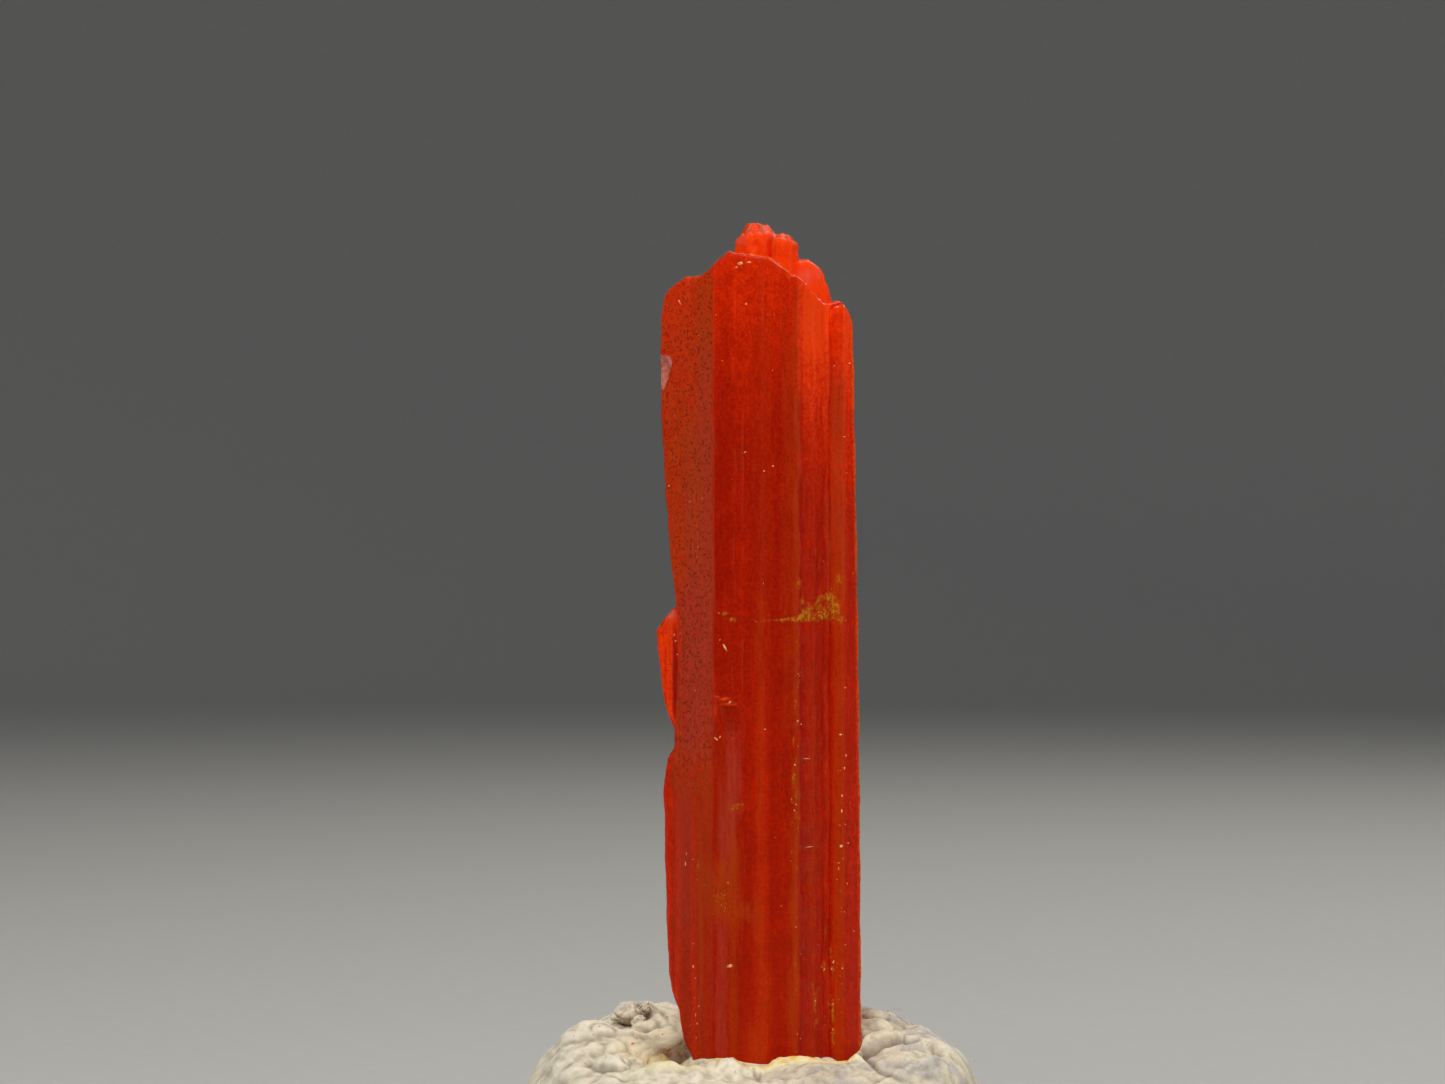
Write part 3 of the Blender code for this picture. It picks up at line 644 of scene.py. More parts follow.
def corner_lines(rod, z):
    """The eight corners of the rod's cross-section at an array of heights, as x and y arrays."""
    x0 = along(rod.left, z) + waver(z, rod.name + " left", 0.02, 2.7)
    x1 = along(rod.right, z) + waver(z, rod.name + " right", 0.02, 3.3)
    a = rod.front_flat[0] + waver(z, rod.name + " a", rod.edge_waver[0], 5.0)
    b = rod.front_flat[1] + waver(z, rod.name + " b", rod.edge_waver[1], 3.6)
    c = np.full_like(z, rod.back_flat[0])
    d = np.full_like(z, rod.back_flat[1])
    front = np.full_like(z, rod.front)
    back = np.full_like(z, rod.back)
    xs = np.stack([a, b, x1, x1, d, c, x0, x0])
    ys = np.stack([
        front, front,
        rod.front + (x1 - rod.front_flat[1]) * PRISM_SLOPE, rod.back - (x1 - d) * PRISM_SLOPE,
        back, back,
        rod.back - (c - x0) * PRISM_SLOPE, rod.front + (rod.front_flat[0] - x0) * PRISM_SLOPE,
    ])
    return xs, ys


def face_ribs(rod, side, width):
    """The ribs and grooves of one face, each as (kind, place, width, depth, seed)."""
    rng = random.Random(f"{rod.name} face {side}")
    ribs = []
    level = 0.0
    at = rng.uniform(0.3, 0.9) * rod.rib_width
    while at < width - 0.2:
        if rng.random() < STEP_SHARE:
            new = rng.choice((0.0, -0.5, -1.0)) * rod.rib_depth
            ribs.append(("step", at, rng.uniform(0.02, 0.05), new - level, rng.random()))
            level = new
        else:
            depth = -rng.uniform(0.4, 1.0) * rod.rib_depth
            ribs.append(("groove", at, rng.uniform(0.03, 0.07), depth, rng.random()))
        at += rng.uniform(0.45, 1.5) * rod.rib_width
    return ribs


def rib_relief(ribs, s, z):
    """How far the ribs move a face in or out, at distances across it and heights up it."""
    relief = np.zeros_like(s)
    for kind, at, width, depth, seed in ribs:
        across = (s - at - waver(z, seed, 0.03, 6.0)) / width
        fade = np.clip(0.65 + waver(z, seed + 1, 0.6, 9.0), 0.0, 1.0)
        if kind == "step":
            relief += depth * (0.4 + 0.6 * fade) * 0.5 * (1 + np.tanh(across))
        else:
            relief += depth * fade * np.exp(-across * across)
    return relief


def etch_pits():
    """The etch pits of the matte facet, as (place, height, half width, half height, depth)."""
    rng = np.random.default_rng(PIT_SEED)
    return np.column_stack([
        rng.uniform(0.1, FACET_WIDTH - 0.1, PIT_COUNT), rng.uniform(*PIT_HEIGHTS, PIT_COUNT),
        rng.uniform(0.04, 0.08, PIT_COUNT), rng.uniform(0.06, 0.13, PIT_COUNT),
        rng.uniform(0.015, 0.035, PIT_COUNT),
    ])


def slab_marks(side, s, z, x):
    """What only the slab has: the pitted left facet, the healed fracture and a small growth."""
    relief = np.zeros_like(s)
    if side == FACET_SIDE:
        for at, height, rs, rz, depth in etch_pits():
            near = 1 - ((s - at) / rs) ** 2 - ((z - height) / rz) ** 2
            relief -= depth * np.sqrt(np.clip(near, 0.0, 1.0))
    if side in (FRONT_SIDE, RIGHT_SIDE):
        above = z - (along(FRACTURE_LINE, x) + waver(x, "fracture", 0.05, 1.1))
        relief -= 0.04 * ridge(above, 0.06)
        relief += 0.02 * smooth(-0.1, 0.0, above) * (1 - smooth(0.0, 0.8, above))
    if side == FRONT_SIDE:
        for line in GROWTH_RIDGES:
            near = polyline_distance(x, z, line)[0]
            knobbly = 1 + 0.5 * np.sin(x * 31) * np.sin(z * 27)
            relief += GROWTH_HEIGHT * knobbly * ridge(near, GROWTH_WIDTH)
        relief -= 0.07 * mound(x, z, *GROWTH_HOLLOW)
        relief += 0.05 * mound(x, z, *FRACTURE_KNOB)
    return relief


def rim_inset(rod, below):
    """How far the sides draw in just below the rim, which rounds it over."""
    near = np.clip(1 - below / rod.rim_round, 0.0, 1.0)
    return rod.rim_round * (1 - np.sqrt(1 - near * near * 0.98))


def side_points(rod, side, share, z, below=None):
    """Points on the rod's sides. side and share have one value for each column of z."""
    xs, ys = corner_lines(rod, z)
    column = np.arange(len(side))
    nxt = (side + 1) % FACES
    ax, ay = xs[side, :, column].T, ys[side, :, column].T
    dx, dy = xs[nxt, :, column].T - ax, ys[nxt, :, column].T - ay
    width = np.hypot(dx, dy)
    px, py = ax + dx * share, ay + dy * share
    relief = np.zeros_like(px)
    for one in range(FACES):
        on = side == one
        if not on.any():
            continue
        s, w, height = (share * width)[:, on], width[:, on], z[:, on]
        ribs = face_ribs(rod, one, float(w.mean()))
        part = rib_relief(ribs, s, height)
        if rod is SLAB:
            part += slab_marks(one, s, height, px[:, on])
        to_edge = np.minimum(s, w - s)
        part *= smooth(0.0, RIB_WINDOW, to_edge)
        part -= EDGE_ROUND * 0.5 * (1 - smooth(0.0, EDGE_ROUND, to_edge))
        relief[:, on] = part
    if below is not None:
        relief -= rim_inset(rod, below)
    if rod.lobes and below is not None:
        places = np.stack([px, py, z], axis=2).reshape(-1, 3)
        swell = lumpy(places, LOBE_SIZE, len(rod.name), 2).reshape(px.shape)
        relief += rod.lobes * swell * (1 - smooth(*LOBE_FADE, below))
    return px + dy / width * relief, py - dx / width * relief


def crown_height(rod, x, y, share):
    """The height of the rod's tip. Its share is 0 at the middle of the tip and 1 at its rim."""
    beyond = np.maximum(0.0, share - rod.flat_share) / (1 - rod.flat_share)
    middle = (rod.front_flat[0] + rod.front_flat[1]) / 2
    return (
        along(rod.crown, x)
        + rod.lean[0] * (x - middle)
        + rod.lean[1] * (y - rod.front)
        - rod.shoulder * beyond * beyond
    )


def tip_relief(rod, x, y, size):
    """The broken, stepped roughness of a tip."""
    seed = sum(map(ord, rod.name)) % 17
    places = np.column_stack([x, y, np.zeros_like(x)])
    rough = lumpy(places, 0.45, seed, 3)
    chatter = lumpy(places, 0.2, seed + 7) + 0.6 * lumpy(places, 0.11, seed + 9)
    steps = np.round(lumpy(places * (1.0, 1.6, 1.0), 0.8, seed + 3) * 4) / 4
    return size * (0.6 * rough + 1.2 * steps) + 0.075 * chatter


def column_places(rod):
    """Which face each column of the rod's mesh is on, and where across it."""
    xs, ys = (v[:, 0, 0] for v in corner_lines(rod, np.full((1, 1), top_of(rod))))
    sides, shares = [], []
    for side in range(FACES):
        nxt = (side + 1) % FACES
        width = math.hypot(xs[nxt] - xs[side], ys[nxt] - ys[side])
        step = rod.across * (PLAIN_FACE_STEP if side in rod.plain_faces else 1.0)
        count = max(2, round(width / step))
        sides += [side] * count
        shares += [k / count for k in range(count)]
    return np.array(sides), np.array(shares)


def rod_levels(rod, lowest_top):
    """The heights of the rod's rows below its rim band, closer together in its fine places."""
    heights = []
    z = rod.foot
    while z < lowest_top - RIM_BAND:
        heights.append(z)
        fine = [step for low, high, step in rod.fine_heights if low <= z < high]
        z += min(fine + [rod.up])
    return heights


def rod_object(rod):
    """One rod as a closed solid, with ribs on its sides and a broken tip."""
    side, share = column_places(rod)
    rim_z = np.full((1, len(side)), top_of(rod))
    rim_x, rim_y = (v[0] for v in side_points(rod, side, share, rim_z))
    middle_x, middle_y = rim_x.mean(), rim_y.mean()
    jag = tip_relief(rod, rim_x, rim_y, rod.jag)
    tops = crown_height(rod, rim_x, rim_y, np.ones_like(rim_x)) + jag
    heights = rod_levels(rod, tops.min())
    last = heights[-1]
    rows = [np.full_like(tops, z) for z in heights]
    band = max(3, round(RIM_BAND / rod.up))
    ledge = tops - rod.rim_round
    rows += [last + (ledge - last) * k / band for k in range(1, band + 1)]
    rows += [tops - drop * rod.rim_round for drop in (0.5, 0.2, 0.06, 0.0)]
    z = np.stack(rows)
    x, y = side_points(rod, side, share, z, tops - z)
    rings = [np.stack([x, y, z], axis=2)]
    for scale in np.linspace(1.0, 0.0, rod.tip_rings + 2)[1:-1] ** 0.8:
        inner_x = middle_x + (x[-1] - middle_x) * scale
        inner_y = middle_y + (y[-1] - middle_y) * scale
        shares = np.full_like(inner_x, scale)
        size = rod.jag + (rod.tip_rough - rod.jag) * (1 - scale)
        rough = tip_relief(rod, inner_x, inner_y, size)
        height = crown_height(rod, inner_x, inner_y, shares) + rough + 0.02
        rings.append(np.stack([inner_x, inner_y, height], axis=1)[None])
    rings = np.concatenate(rings)
    tip = rings[-1].mean(axis=0)
    heel = (middle_x, middle_y, rod.foot)
    return ring_solid(rod.name, rings, heel, tip)


def chip_object(name, centre, radii):
    """A rippled shell shape that breaks a chip out of the crystal."""
    places, faces = ball(5)
    points = []
    for place in places:
        ripple = CHIP_RIPPLE * math.sin(14 * place.z + 5 * place.y)
        swell = 1 + ripple + 0.05 * noise.noise(place * 3.1)
        points.append([c + r * part * swell for c, r, part in zip(centre, radii, place)])
    return mesh_from(name, points, faces)


def combine(base, other, operation):
    step = base.modifiers.new(other.name, "BOOLEAN")
    step.operation = operation
    step.object = other
    step.solver = "MANIFOLD"


def in_chip(p, name, grow=1.08):
    """1 inside a chip's shape, a little grown, and 0 outside it."""
    centre, radii = CHIPS[name]
    inside = ((p - centre) / (np.array(radii) * grow)) ** 2
    return (inside.sum(axis=1) < 1.0 + 0.5 * lumpy(p, 0.4, 52)).astype(float)


def thickness(mesh, normals):
    """How far each vertex is from the opposite side of the crystal, in millimetres."""
    tree = ray_tree(mesh)
    out = np.empty(len(mesh.vertices))
    start = 0.03 * MM
    for i, v in enumerate(mesh.vertices):
        inward = -Vector(normals[i])
        hit = tree.ray_cast(v.co + inward * start, inward)[0]
        out[i] = (hit - v.co).length / MM if hit else 0.1
    return out


def left_growths(x, z):
    """1 on the glossy spur and root on the crystal's left side, and 0 off them."""
    beside_spur = x - along(SPUR_LINE, z)
    beside_root = x - along(ROOT_LINE, z) - waver(z, "root", 0.05, 1.9)
    return np.maximum(
        (1 - smooth(-0.05, 0.05, beside_spur)) * smooth(21.3, 21.5, z)
        * (1 - smooth(26.5, 26.6, z)),
        (1 - smooth(-0.08, 0.08, beside_root)) * (1 - smooth(20.9, 21.3, z)),
    )


def painted_rim_lines(x, y, z, facing):
    """1 along the slab's broken top edge and down its right edge, where rim light is painted."""
    top = ridge(np.maximum(0.0, along(TOP_EDGE, x) - z), 0.05) * (1 - smooth(-1.2, -0.8, y))
    return np.maximum(top, 0.9 * ridge(x - along(RIGHT_EDGE, z), 0.06) * facing)


def painted_highlights(p, knobs):
    """1 where highlights are painted: pale on the chips, the knobs and along the left edge."""
    x, _, z = p.T
    breaks = np.maximum(in_chip(p, "left_chip"), 0.3 * in_chip(p, "left_nick"))
    breaks += knobs * mounds(x, z, KNOB_HIGHLIGHT_SPOTS)
    return np.maximum(breaks, mounds(x, z, EDGE_HIGHLIGHT_SPOTS) * (1 - smooth(-3.5, -3.3, x)))


def back_marks(p, behind):
    """The marks of the sides and back, from noise drawn out along the crystal."""
    columns = p * (1.0, 1.0, 0.07)
    crusted = smooth(0.42, 0.6, lumpy(p, 1.6, 33)), smooth(0.0, 0.4, lumpy(p, 4.0, 34))
    return {
        "tan": behind * smooth(0.0, 0.45, lumpy(columns, 0.7, 31)) * 0.7,
        "film": behind * smooth(0.05, 0.5, lumpy(columns, 0.9, 32)) * 0.7,
        "crust": 0.8 * (behind * crusted[0] * crusted[1]),
        "glow": behind * 0.12 * smooth(0.0, 0.6, lumpy(columns, 1.1, 35)),
    }


def crystal_masks(obj):
    """Stores where the crystal is pitted, stained and chipped, and its painted glow where thin,
    painted rim light, sheen and highlights.
    """
    mesh = obj.data
    p, normals, edges = shape_of(mesh)
    x, y, z = p.T
    facing = smooth(0.0, 0.5, -normals[:, 1])
    bends = edge_bends(mesh)
    growths = left_growths(x, z)
    knobs = smooth(*KNOB_HEIGHTS, z) * smooth(-1.2, -0.7, y)
    wandered = x + (0.07 * lumpy(p * (1.0, 1.0, 0.35), 0.7, 41) + 0.04 * lumpy(p, 0.3, 42))

    # Painted glow: brighter where the crystal is thin, higher up, on the knobs and the growths, and
    # less along the spur's seam
    thin = np.exp(-spread(thickness(mesh, normals), edges, 6) / PAINTED_GLOW_DEPTH)
    glow = 0.06 + 0.3 * thin
    glow += facing * (bands(wandered, z, PAINTED_GLOW_AND_STREAK_BANDS) + mounds(x, z, PAINTED_GLOW_AND_SHADE_SPOTS))
    low, high, strength = PAINTED_TOP_GLOW
    glow += 0.45 * knobs + 0.3 * growths + strength * smooth(low, high, z)
    spur_seam = 0.75 * ridge(x + 3.36, 0.09) * (1 - smooth(25.3, 26.0, z))
    glow += growths * smooth(21.4, 22.4, z) * (0.3 - spur_seam)

    facet = facing * (1 - smooth(-1.93, -1.86, x)) * (1 - smooth(-0.9, -0.6, y)) * (1 - growths)
    seam = ridge(z - along(FRACTURE_LINE, x), 0.05)
    seam = seam * smooth(-0.9, 0.6, x) * (1 - smooth(1.4, 2.2, x))
    dashes = 0.4 + 0.6 * np.sin(2.7 * z) ** 2
    front = facing * (1 - growths) * (1 - mound(x, z, *GROWTH_HOLLOW))
    back = back_marks(p, 1 - facing)
    tan = bands(wandered, z, TAN_BANDS) + mounds(wandered, z, TAN_SPOTS)
    stored = {
        "glow": glow + back["glow"],
        "matte_facet": facet * (0.4 + 0.6 * smooth(17.0, 21.0, z)),
        "pitted": facet * smooth(17.5, 21.0, z),
        "tan": back["tan"] + front * tan,
        "film": back["film"] + front * bands(wandered, z, PAINTED_SHEEN_BANDS),
        "crust": facing * (mounds(wandered, z, CRUST_SPOTS) + 0.45 * seam) + back["crust"],
        "orange": facing * mounds(x, z, PAINTED_ORANGE_SPOTS),
        "sparkle": facing * (bands(x, z, SPARKLE_BANDS) * dashes + 0.012),
        "rim": painted_rim_lines(x, y, z, facing),
        "worn_edge": spread(bends / math.radians(90), edges, 1),
        "fresh_break": painted_highlights(p, knobs),
    }
    store(mesh, {name: np.clip(values, 0.0, 1.0) for name, values in stored.items()})


def make_crystal():
    """The slab with every rod joined to it and every chip broken out of it."""
    crystal = rod_object(SLAB)
    helpers = [rod_object(rod) for rod in GROWN_ON]
    for helper in helpers:
        combine(crystal, helper, "UNION")
    for name, (centre, radii) in CHIPS.items():
        helpers.append(chip_object(name, centre, radii))
        combine(crystal, helpers[-1], "DIFFERENCE")
    finished_mesh(crystal)
    for helper in helpers:
        bpy.data.objects.remove(helper)
    crystal.name = "crystal_body"
    crystal.data.name = "crystal_body"
    shade_smooth(crystal.data)
    crystal.data.set_sharp_from_angle(angle=SHARP_ANGLE)
    crystal_masks(crystal)
    return crystal


# ---- The putty ----


def putty_reach(direction_x, direction_y):
    """How far the putty spreads from its centre in each direction."""
    side = np.where(direction_x > 0, PUTTY_REACH["right"], PUTTY_REACH["left"])
    depth = np.where(direction_y > 0, PUTTY_REACH["back"], PUTTY_REACH["front"])
    return 1 / np.hypot(direction_x / side, direction_y / depth)


def putty_surface(x, y, share):
    """The height of the putty's upper surface: its profile, presses, folds, pellets and lip."""
    fade = np.clip((1.0 - share) / RIM_FADE, 0.0, 1.0)
    height = along(PUTTY_CROWN, share)
    for px, py, width, rise in (*PUTTY_PRESSES.values(), *PUTTY_DENTS):
        height += fade * rise * np.exp(-((x - px) ** 2 + (y - py) ** 2) / (2 * width * width))
    for points, width, rise, step in PUTTY_FOLDS:
        near, signed, place = polyline_distance(x, y, points)
        ends = fade * np.sin(np.pi * np.clip(place, 0.0, 1.0)) ** 0.5
        height += ends * rise * ridge(near, width)
        height += ends * step * np.tanh(signed / width) * ridge(near, 4 * width)
    for px, py, long_half, short_half, turn, rise in PUTTY_PELLETS:
        c, s = math.cos(math.radians(turn)), math.sin(math.radians(turn))
        u, v = (x - px) * c + (y - py) * s, (y - py) * c - (x - px) * s
        round_top = np.clip(1 - (u / long_half) ** 2 - (v / short_half) ** 2, 0.0, 1.0)
        height += rise * np.sqrt(round_top)
    lip = ridge(y - LIP_AT, LIP_WIDTH) * smooth(*LIP_START, x) * (1 - smooth(*LIP_END, x))
    return height * (1 - lip) + along(LIP_LINE, x) * lip


def creases(points, size, seed, width):
    """1 along the thin winding lines where pressed putty closed on itself, and 0 off them."""
    return ridge(lumpy(points, size, seed), width)


def kneading(points):
    """The putty's own unevenness, in millimetres, from thumb marks down to grit."""
    picked = smooth(6.0, 8.5, points[:, 2])
    pulled = smooth(-0.1, 0.3, lumpy(points, 3.3, 9))
    closed = smooth(-0.1, 0.2, lumpy(points, 2.6, 13))
    return (
        0.17 * lumpy(points, 2.3, 1)
        + (0.08 + 0.05 * picked) * lumpy(points, 1.05, 2)
        + 0.34 * picked * pulled * lumpy(points, 0.9, 10) ** 2
        + (0.02 + 0.045 * picked) * lumpy(points, 0.45, 3)
        + (0.008 + 0.018 * picked) * lumpy(points, 0.2, 4)
        - 0.14 * creases(points, *LONG_CREASES) * smooth(0.1, 0.5, lumpy(points, 4.1, 6))
        - 0.012 * picked * creases(points, *SHORT_CREASES) * closed
    )


def dips(p, normals, edges, rounds, depth):
    """How deep each place lies in a dip between lumps (positive) or stands up (negative)."""
    even = np.stack([spread(p[:, k], edges, rounds) for k in range(3)], axis=1)
    return np.clip(((even - p) * normals).sum(axis=1) / depth, -1.0, 1.0)


def crystal_reach(crystal, columns, heights):
    """How far the crystal's sides are from the centre, in every column's direction and height."""
    tree = ray_tree(crystal.data)
    out = np.empty((columns, len(heights)))
    for i in range(columns):
        angle = 2 * math.pi * i / columns
        ray = Vector((math.cos(angle), math.sin(angle), 0.0))
        for k, z in enumerate(heights):
            start = Vector((*PUTTY_CENTRE, z)) + ray * HUG_FROM
            hit = tree.ray_cast(start * MM, -ray)[0]
            reach = HUG_FROM - (hit / MM - start).length if hit else -1.0
            out[i, k] = reach if reach >= 0 else 1.0
    return out


def side_rows():
    """Even places down the putty's side, after its top, as (share of its reach, height)."""
    turn_height = float(along(PUTTY_CROWN, np.array(PUTTY_TURN)))
    tail = [point for point in PUTTY_PROFILE if point[0] > PUTTY_TURN or point[1] < 8.0]
    shares, heights = zip((PUTTY_TURN, turn_height), *tail)
    steps = np.hypot(np.diff([share * 10 for share in shares]), np.diff(heights))
    lengths = np.concatenate([[0.0], np.cumsum(steps)])
    at = np.linspace(0.0, lengths[-1], PUTTY_SIDE_ROWS)[1:]
    return zip(np.interp(at, lengths, shares), np.interp(at, lengths, heights))


def make_putty(crystal):
    """The lump of putty, a ring of meridians that hug the crystal's foot."""
    angle = 2 * np.pi * np.arange(PUTTY_COLUMNS) / PUTTY_COLUMNS
    dx, dy = np.cos(angle), np.sin(angle)
    reach = putty_reach(dx, dy)
    levels = np.arange(SOCKET_FLOOR, 11.0, 0.15)
    sides = crystal_reach(crystal, PUTTY_COLUMNS, levels)
    sides = np.maximum(sides, np.maximum(np.roll(sides, 1, 0), np.roll(sides, -1, 0))) + HUG_GAP

    def hug(z):
        return np.array([np.interp(height, levels, row) for height, row in zip(z, sides)])

    def place(radius, z):
        return np.stack([PUTTY_CENTRE[0] + dx * radius, PUTTY_CENTRE[1] + dy * radius, z], axis=1)

    def surface(radius):
        x, y = PUTTY_CENTRE[0] + dx * radius, PUTTY_CENTRE[1] + dy * radius
        return putty_surface(x, y, radius / reach)

    lip = hug(np.full(PUTTY_COLUMNS, 9.0))
    for _ in range(4):
        lip = hug(surface(lip + 0.1))
    lip_z = surface(lip + 0.1)
    floor = np.full(PUTTY_COLUMNS, SOCKET_FLOOR)
    rings = [place(hug(floor + 0.05) * 0.6, floor)]
    for share in np.linspace(0.0, 1.0, PUTTY_WALL_ROWS):
        z = (FOOT - 0.2) * (1 - share) + (lip_z - 0.06) * share
        rings.append(place(hug(z), z))
    for share in np.linspace(0.0, 1.0, PUTTY_TOP_ROWS):
        radius = (lip + 0.03) * (1 - share) + PUTTY_TURN * reach * share
        rings.append(place(radius, surface(radius)))
    for share, height in side_rows():
        radius = share * reach
        on_top = height > PUTTY_WIDEST
        rings.append(place(radius, surface(radius) if on_top else np.full(PUTTY_COLUMNS, height)))
    return knead(np.stack(rings))


def knead(rings):
    """Closes the putty's rings into a solid and roughens its open surface."""
    rows, columns = rings.shape[:2]
    obj = ring_solid("putty_lump", rings[::-1], (0.0, 0.0, 0.0), (*PUTTY_CENTRE, SOCKET_FLOOR))
    mesh = obj.data
    p, normals, _ = shape_of(mesh)
    row = np.concatenate([np.repeat(np.arange(rows)[::-1], columns), [rows, 0]]).astype(float)
    wall_end = PUTTY_WALL_ROWS + 1
    bare = smooth(wall_end - 0.5, wall_end + 5.0, row) * smooth(0.02, 0.5, p[:, 2])
    moved = p + normals * (kneading(p) * bare)[:, None]
    moved[:, 2] = np.maximum(moved[:, 2], 0.0)
    mesh.vertices.foreach_set("co", (moved * MM).ravel())
    mesh.update()
    shade_smooth(mesh)
    putty_masks(mesh)
    return obj


def putty_masks(mesh):
    """Stores the putty's painted shade in creases and towards the right, painted highlights on
    raised parts, painted light from the crystal and painted shadows.
    """
    p, normals, edges = shape_of(mesh)
    x, y, z = p.T
    bends = edge_bends(mesh) / math.radians(30)
    # Painted shade in creases, dips and hollows, darkest where deepest
    dip = dips(p, normals, edges, 14, 0.055)
    lines = 0.6 * creases(p, *LONG_CREASES) * smooth(0.0, 0.4, lumpy(p, 4.1, 6))
    sunk = np.maximum(np.clip(-bends, 0.0, 1.0), lines)
    sunk = np.maximum(sunk, 0.85 * np.clip(dip, 0.0, 1.0))
    # Painted highlights on raised edges and lumps
    raised = np.maximum(np.clip(bends, 0.0, 1.0), np.clip(-dip, 0.0, 1.0))
    # Painted yellow-orange light thrown by the crystal, near it and along the lip
    near = 1 - smooth(1.0, 1.5, np.hypot(x / 4.0, (y - 0.1) / 3.0))
    lip_edge = ridge(y + 3.5, 0.26) * smooth(-3.3, -2.7, x) * (1 - smooth(3.5, 4.2, x))
    warm = np.clip(0.15 * near + 1.5 * lip_edge + mounds(x, y, PUTTY_CRYSTAL_LIGHT_SPOTS), 0.0, 1.0)
    store(mesh, {
        # Painted dark shadows
        "stain": np.clip(mounds(x, y, PUTTY_PAINTED_SHADOWS), 0.0, 1.0) * smooth(5.0, 6.0, z),
        "hollow": np.clip(spread(sunk, edges, 1), 0.0, 1.0),
        "worn_edge": spread(raised, edges, 1),
        # Painted shade, darker and greyer towards the right
        "grime": smooth(-2.5, 5.0, x),
        "warm": warm * smooth(6.5, 8.0, z),
        "crumb_place": np.clip(near + 0.05, 0.0, 1.0) * smooth(6.5, 8.0, z),
    })


def crumb_blobs():
    """The rolled crumb of putty on the left crown, and smaller ones beside it."""
    places, ball_faces = ball(5)
    points, faces, under = [], [], []
    for k, (centre, radii, turn) in enumerate(PUTTY_CRUMBS):
        faces += [tuple(len(points) + index for index in face) for face in ball_faces]
        c, s = math.cos(turn), math.sin(turn)
        for place in places:
            at = place * 1.4 + Vector((k * 3.1, 0.0, 0.0))
            swell = 1 + 0.28 * noise.noise(at) + 0.12 * noise.noise(at * 2.7)
            swell += 0.04 * noise.noise(at * 7.0)
            x, y, z = (part * r * swell for part, r in zip(place, radii))
            points.append((centre[0] + c * x - s * z, centre[1] + y, centre[2] + s * x + c * z))
            # Painted shade on the crumb's underside and in patches
            under.append(0.9 * max(0.0, -place.z - 0.15) + 0.5 * max(0.0, -noise.noise(at * 1.9)))
    obj = mesh_from("putty_crumb", points, faces)
    shade_smooth(obj.data)
    hollow, same = np.clip(under, 0.0, 1.0), np.ones(len(points))
    store(obj.data, {
        "hollow": hollow, "worn_edge": same * 0.3, "warm": same * 0.0, "grime": same * 0.3,
        "stain": hollow * 0.6,
    })
    return obj


# ---- Nodes ----


def feed(tree, socket, value):
    """Gives a node's input a link or a plain value."""
    if isinstance(value, Value):
        value = value.socket
    if isinstance(value, bpy.types.NodeSocket):
        tree.links.new(value, socket)
    else:
        socket.default_value = value


def add_node(tree, kind, inputs=None, **settings):
    """Adds a node, with its settings, and its inputs as values or as links."""
    node = tree.nodes.new(kind)
    for key, value in settings.items():
        setattr(node, key, value)
    for key, value in (inputs or {}).items():
        feed(tree, node.inputs[key], value)
    return node


def vector_maths(tree, operation, **parts):
    """The result of one Vector Math node. Its parts are a, b and scale."""
    inputs = {"a": 0, "b": 1, "scale": "Scale"}
    node = add_node(tree, "ShaderNodeVectorMath",
                    {inputs[key]: value for key, value in parts.items()}, operation=operation)
    return node.outputs[0]


def maths(tree, operation, *parts, clamp=False):
    """The result of one Math node, from numbers, sockets and Values."""
    node = add_node(tree, "ShaderNodeMath", dict(enumerate(parts)), operation=operation)
    node.use_clamp = clamp
    return Value(tree, node.outputs[0])


@dataclass
class Value:
    """A number that changes over a piece. What is worked out from it becomes Math nodes."""

    tree: object
    socket: object

    def __add__(self, other):
        return maths(self.tree, "ADD", self, other)

    def __sub__(self, other):
        return maths(self.tree, "SUBTRACT", self, other)

    def __rsub__(self, other):
        return maths(self.tree, "SUBTRACT", other, self)

    def __mul__(self, other):
        return maths(self.tree, "MULTIPLY", self, other)

    def held_sum(self, other):
        """The sum with another value, held between 0 and 1."""
        return maths(self.tree, "ADD", self, other, clamp=True)

    def larger(self, other):
        return maths(self.tree, "MAXIMUM", self, other)

    def between(self, low, high):
        """0 at the low value and 1 at the high one, held at both ends."""
        node = add_node(self.tree, "ShaderNodeMapRange", {
            "Value": self, "From Min": low, "From Max": high,
        }, clamp=True, interpolation_type="SMOOTHSTEP")
        return Value(self.tree, node.outputs["Result"])


# ---- What is scattered or follows a line, by Geometry Nodes ----


def geometry_tree(name, inputs):
    """A Geometry Nodes tree with a geometry socket each way and named inputs."""
    tree = bpy.data.node_groups.new(name, "GeometryNodeTree")
    tree.interface.new_socket("Geometry", in_out="INPUT", socket_type="NodeSocketGeometry")
    for label, kind, value in inputs:
        socket = tree.interface.new_socket(label, in_out="INPUT", socket_type=kind)
        if value is not None:
            socket.default_value = value
    tree.interface.new_socket("Geometry", in_out="OUTPUT", socket_type="NodeSocketGeometry")
    return tree, tree.nodes.new("NodeGroupInput").outputs


def end_tree(tree, geometry, material):
    """Ends a tree as real mesh with its finish."""
    real = add_node(tree, "GeometryNodeRealizeInstances", {"Geometry": geometry})
    finished = add_node(tree, "GeometryNodeSetMaterial",
                        {"Geometry": real.outputs[0], "Material": material})
    add_node(tree, "NodeGroupOutput", {"Geometry": finished.outputs[0]})
    return tree


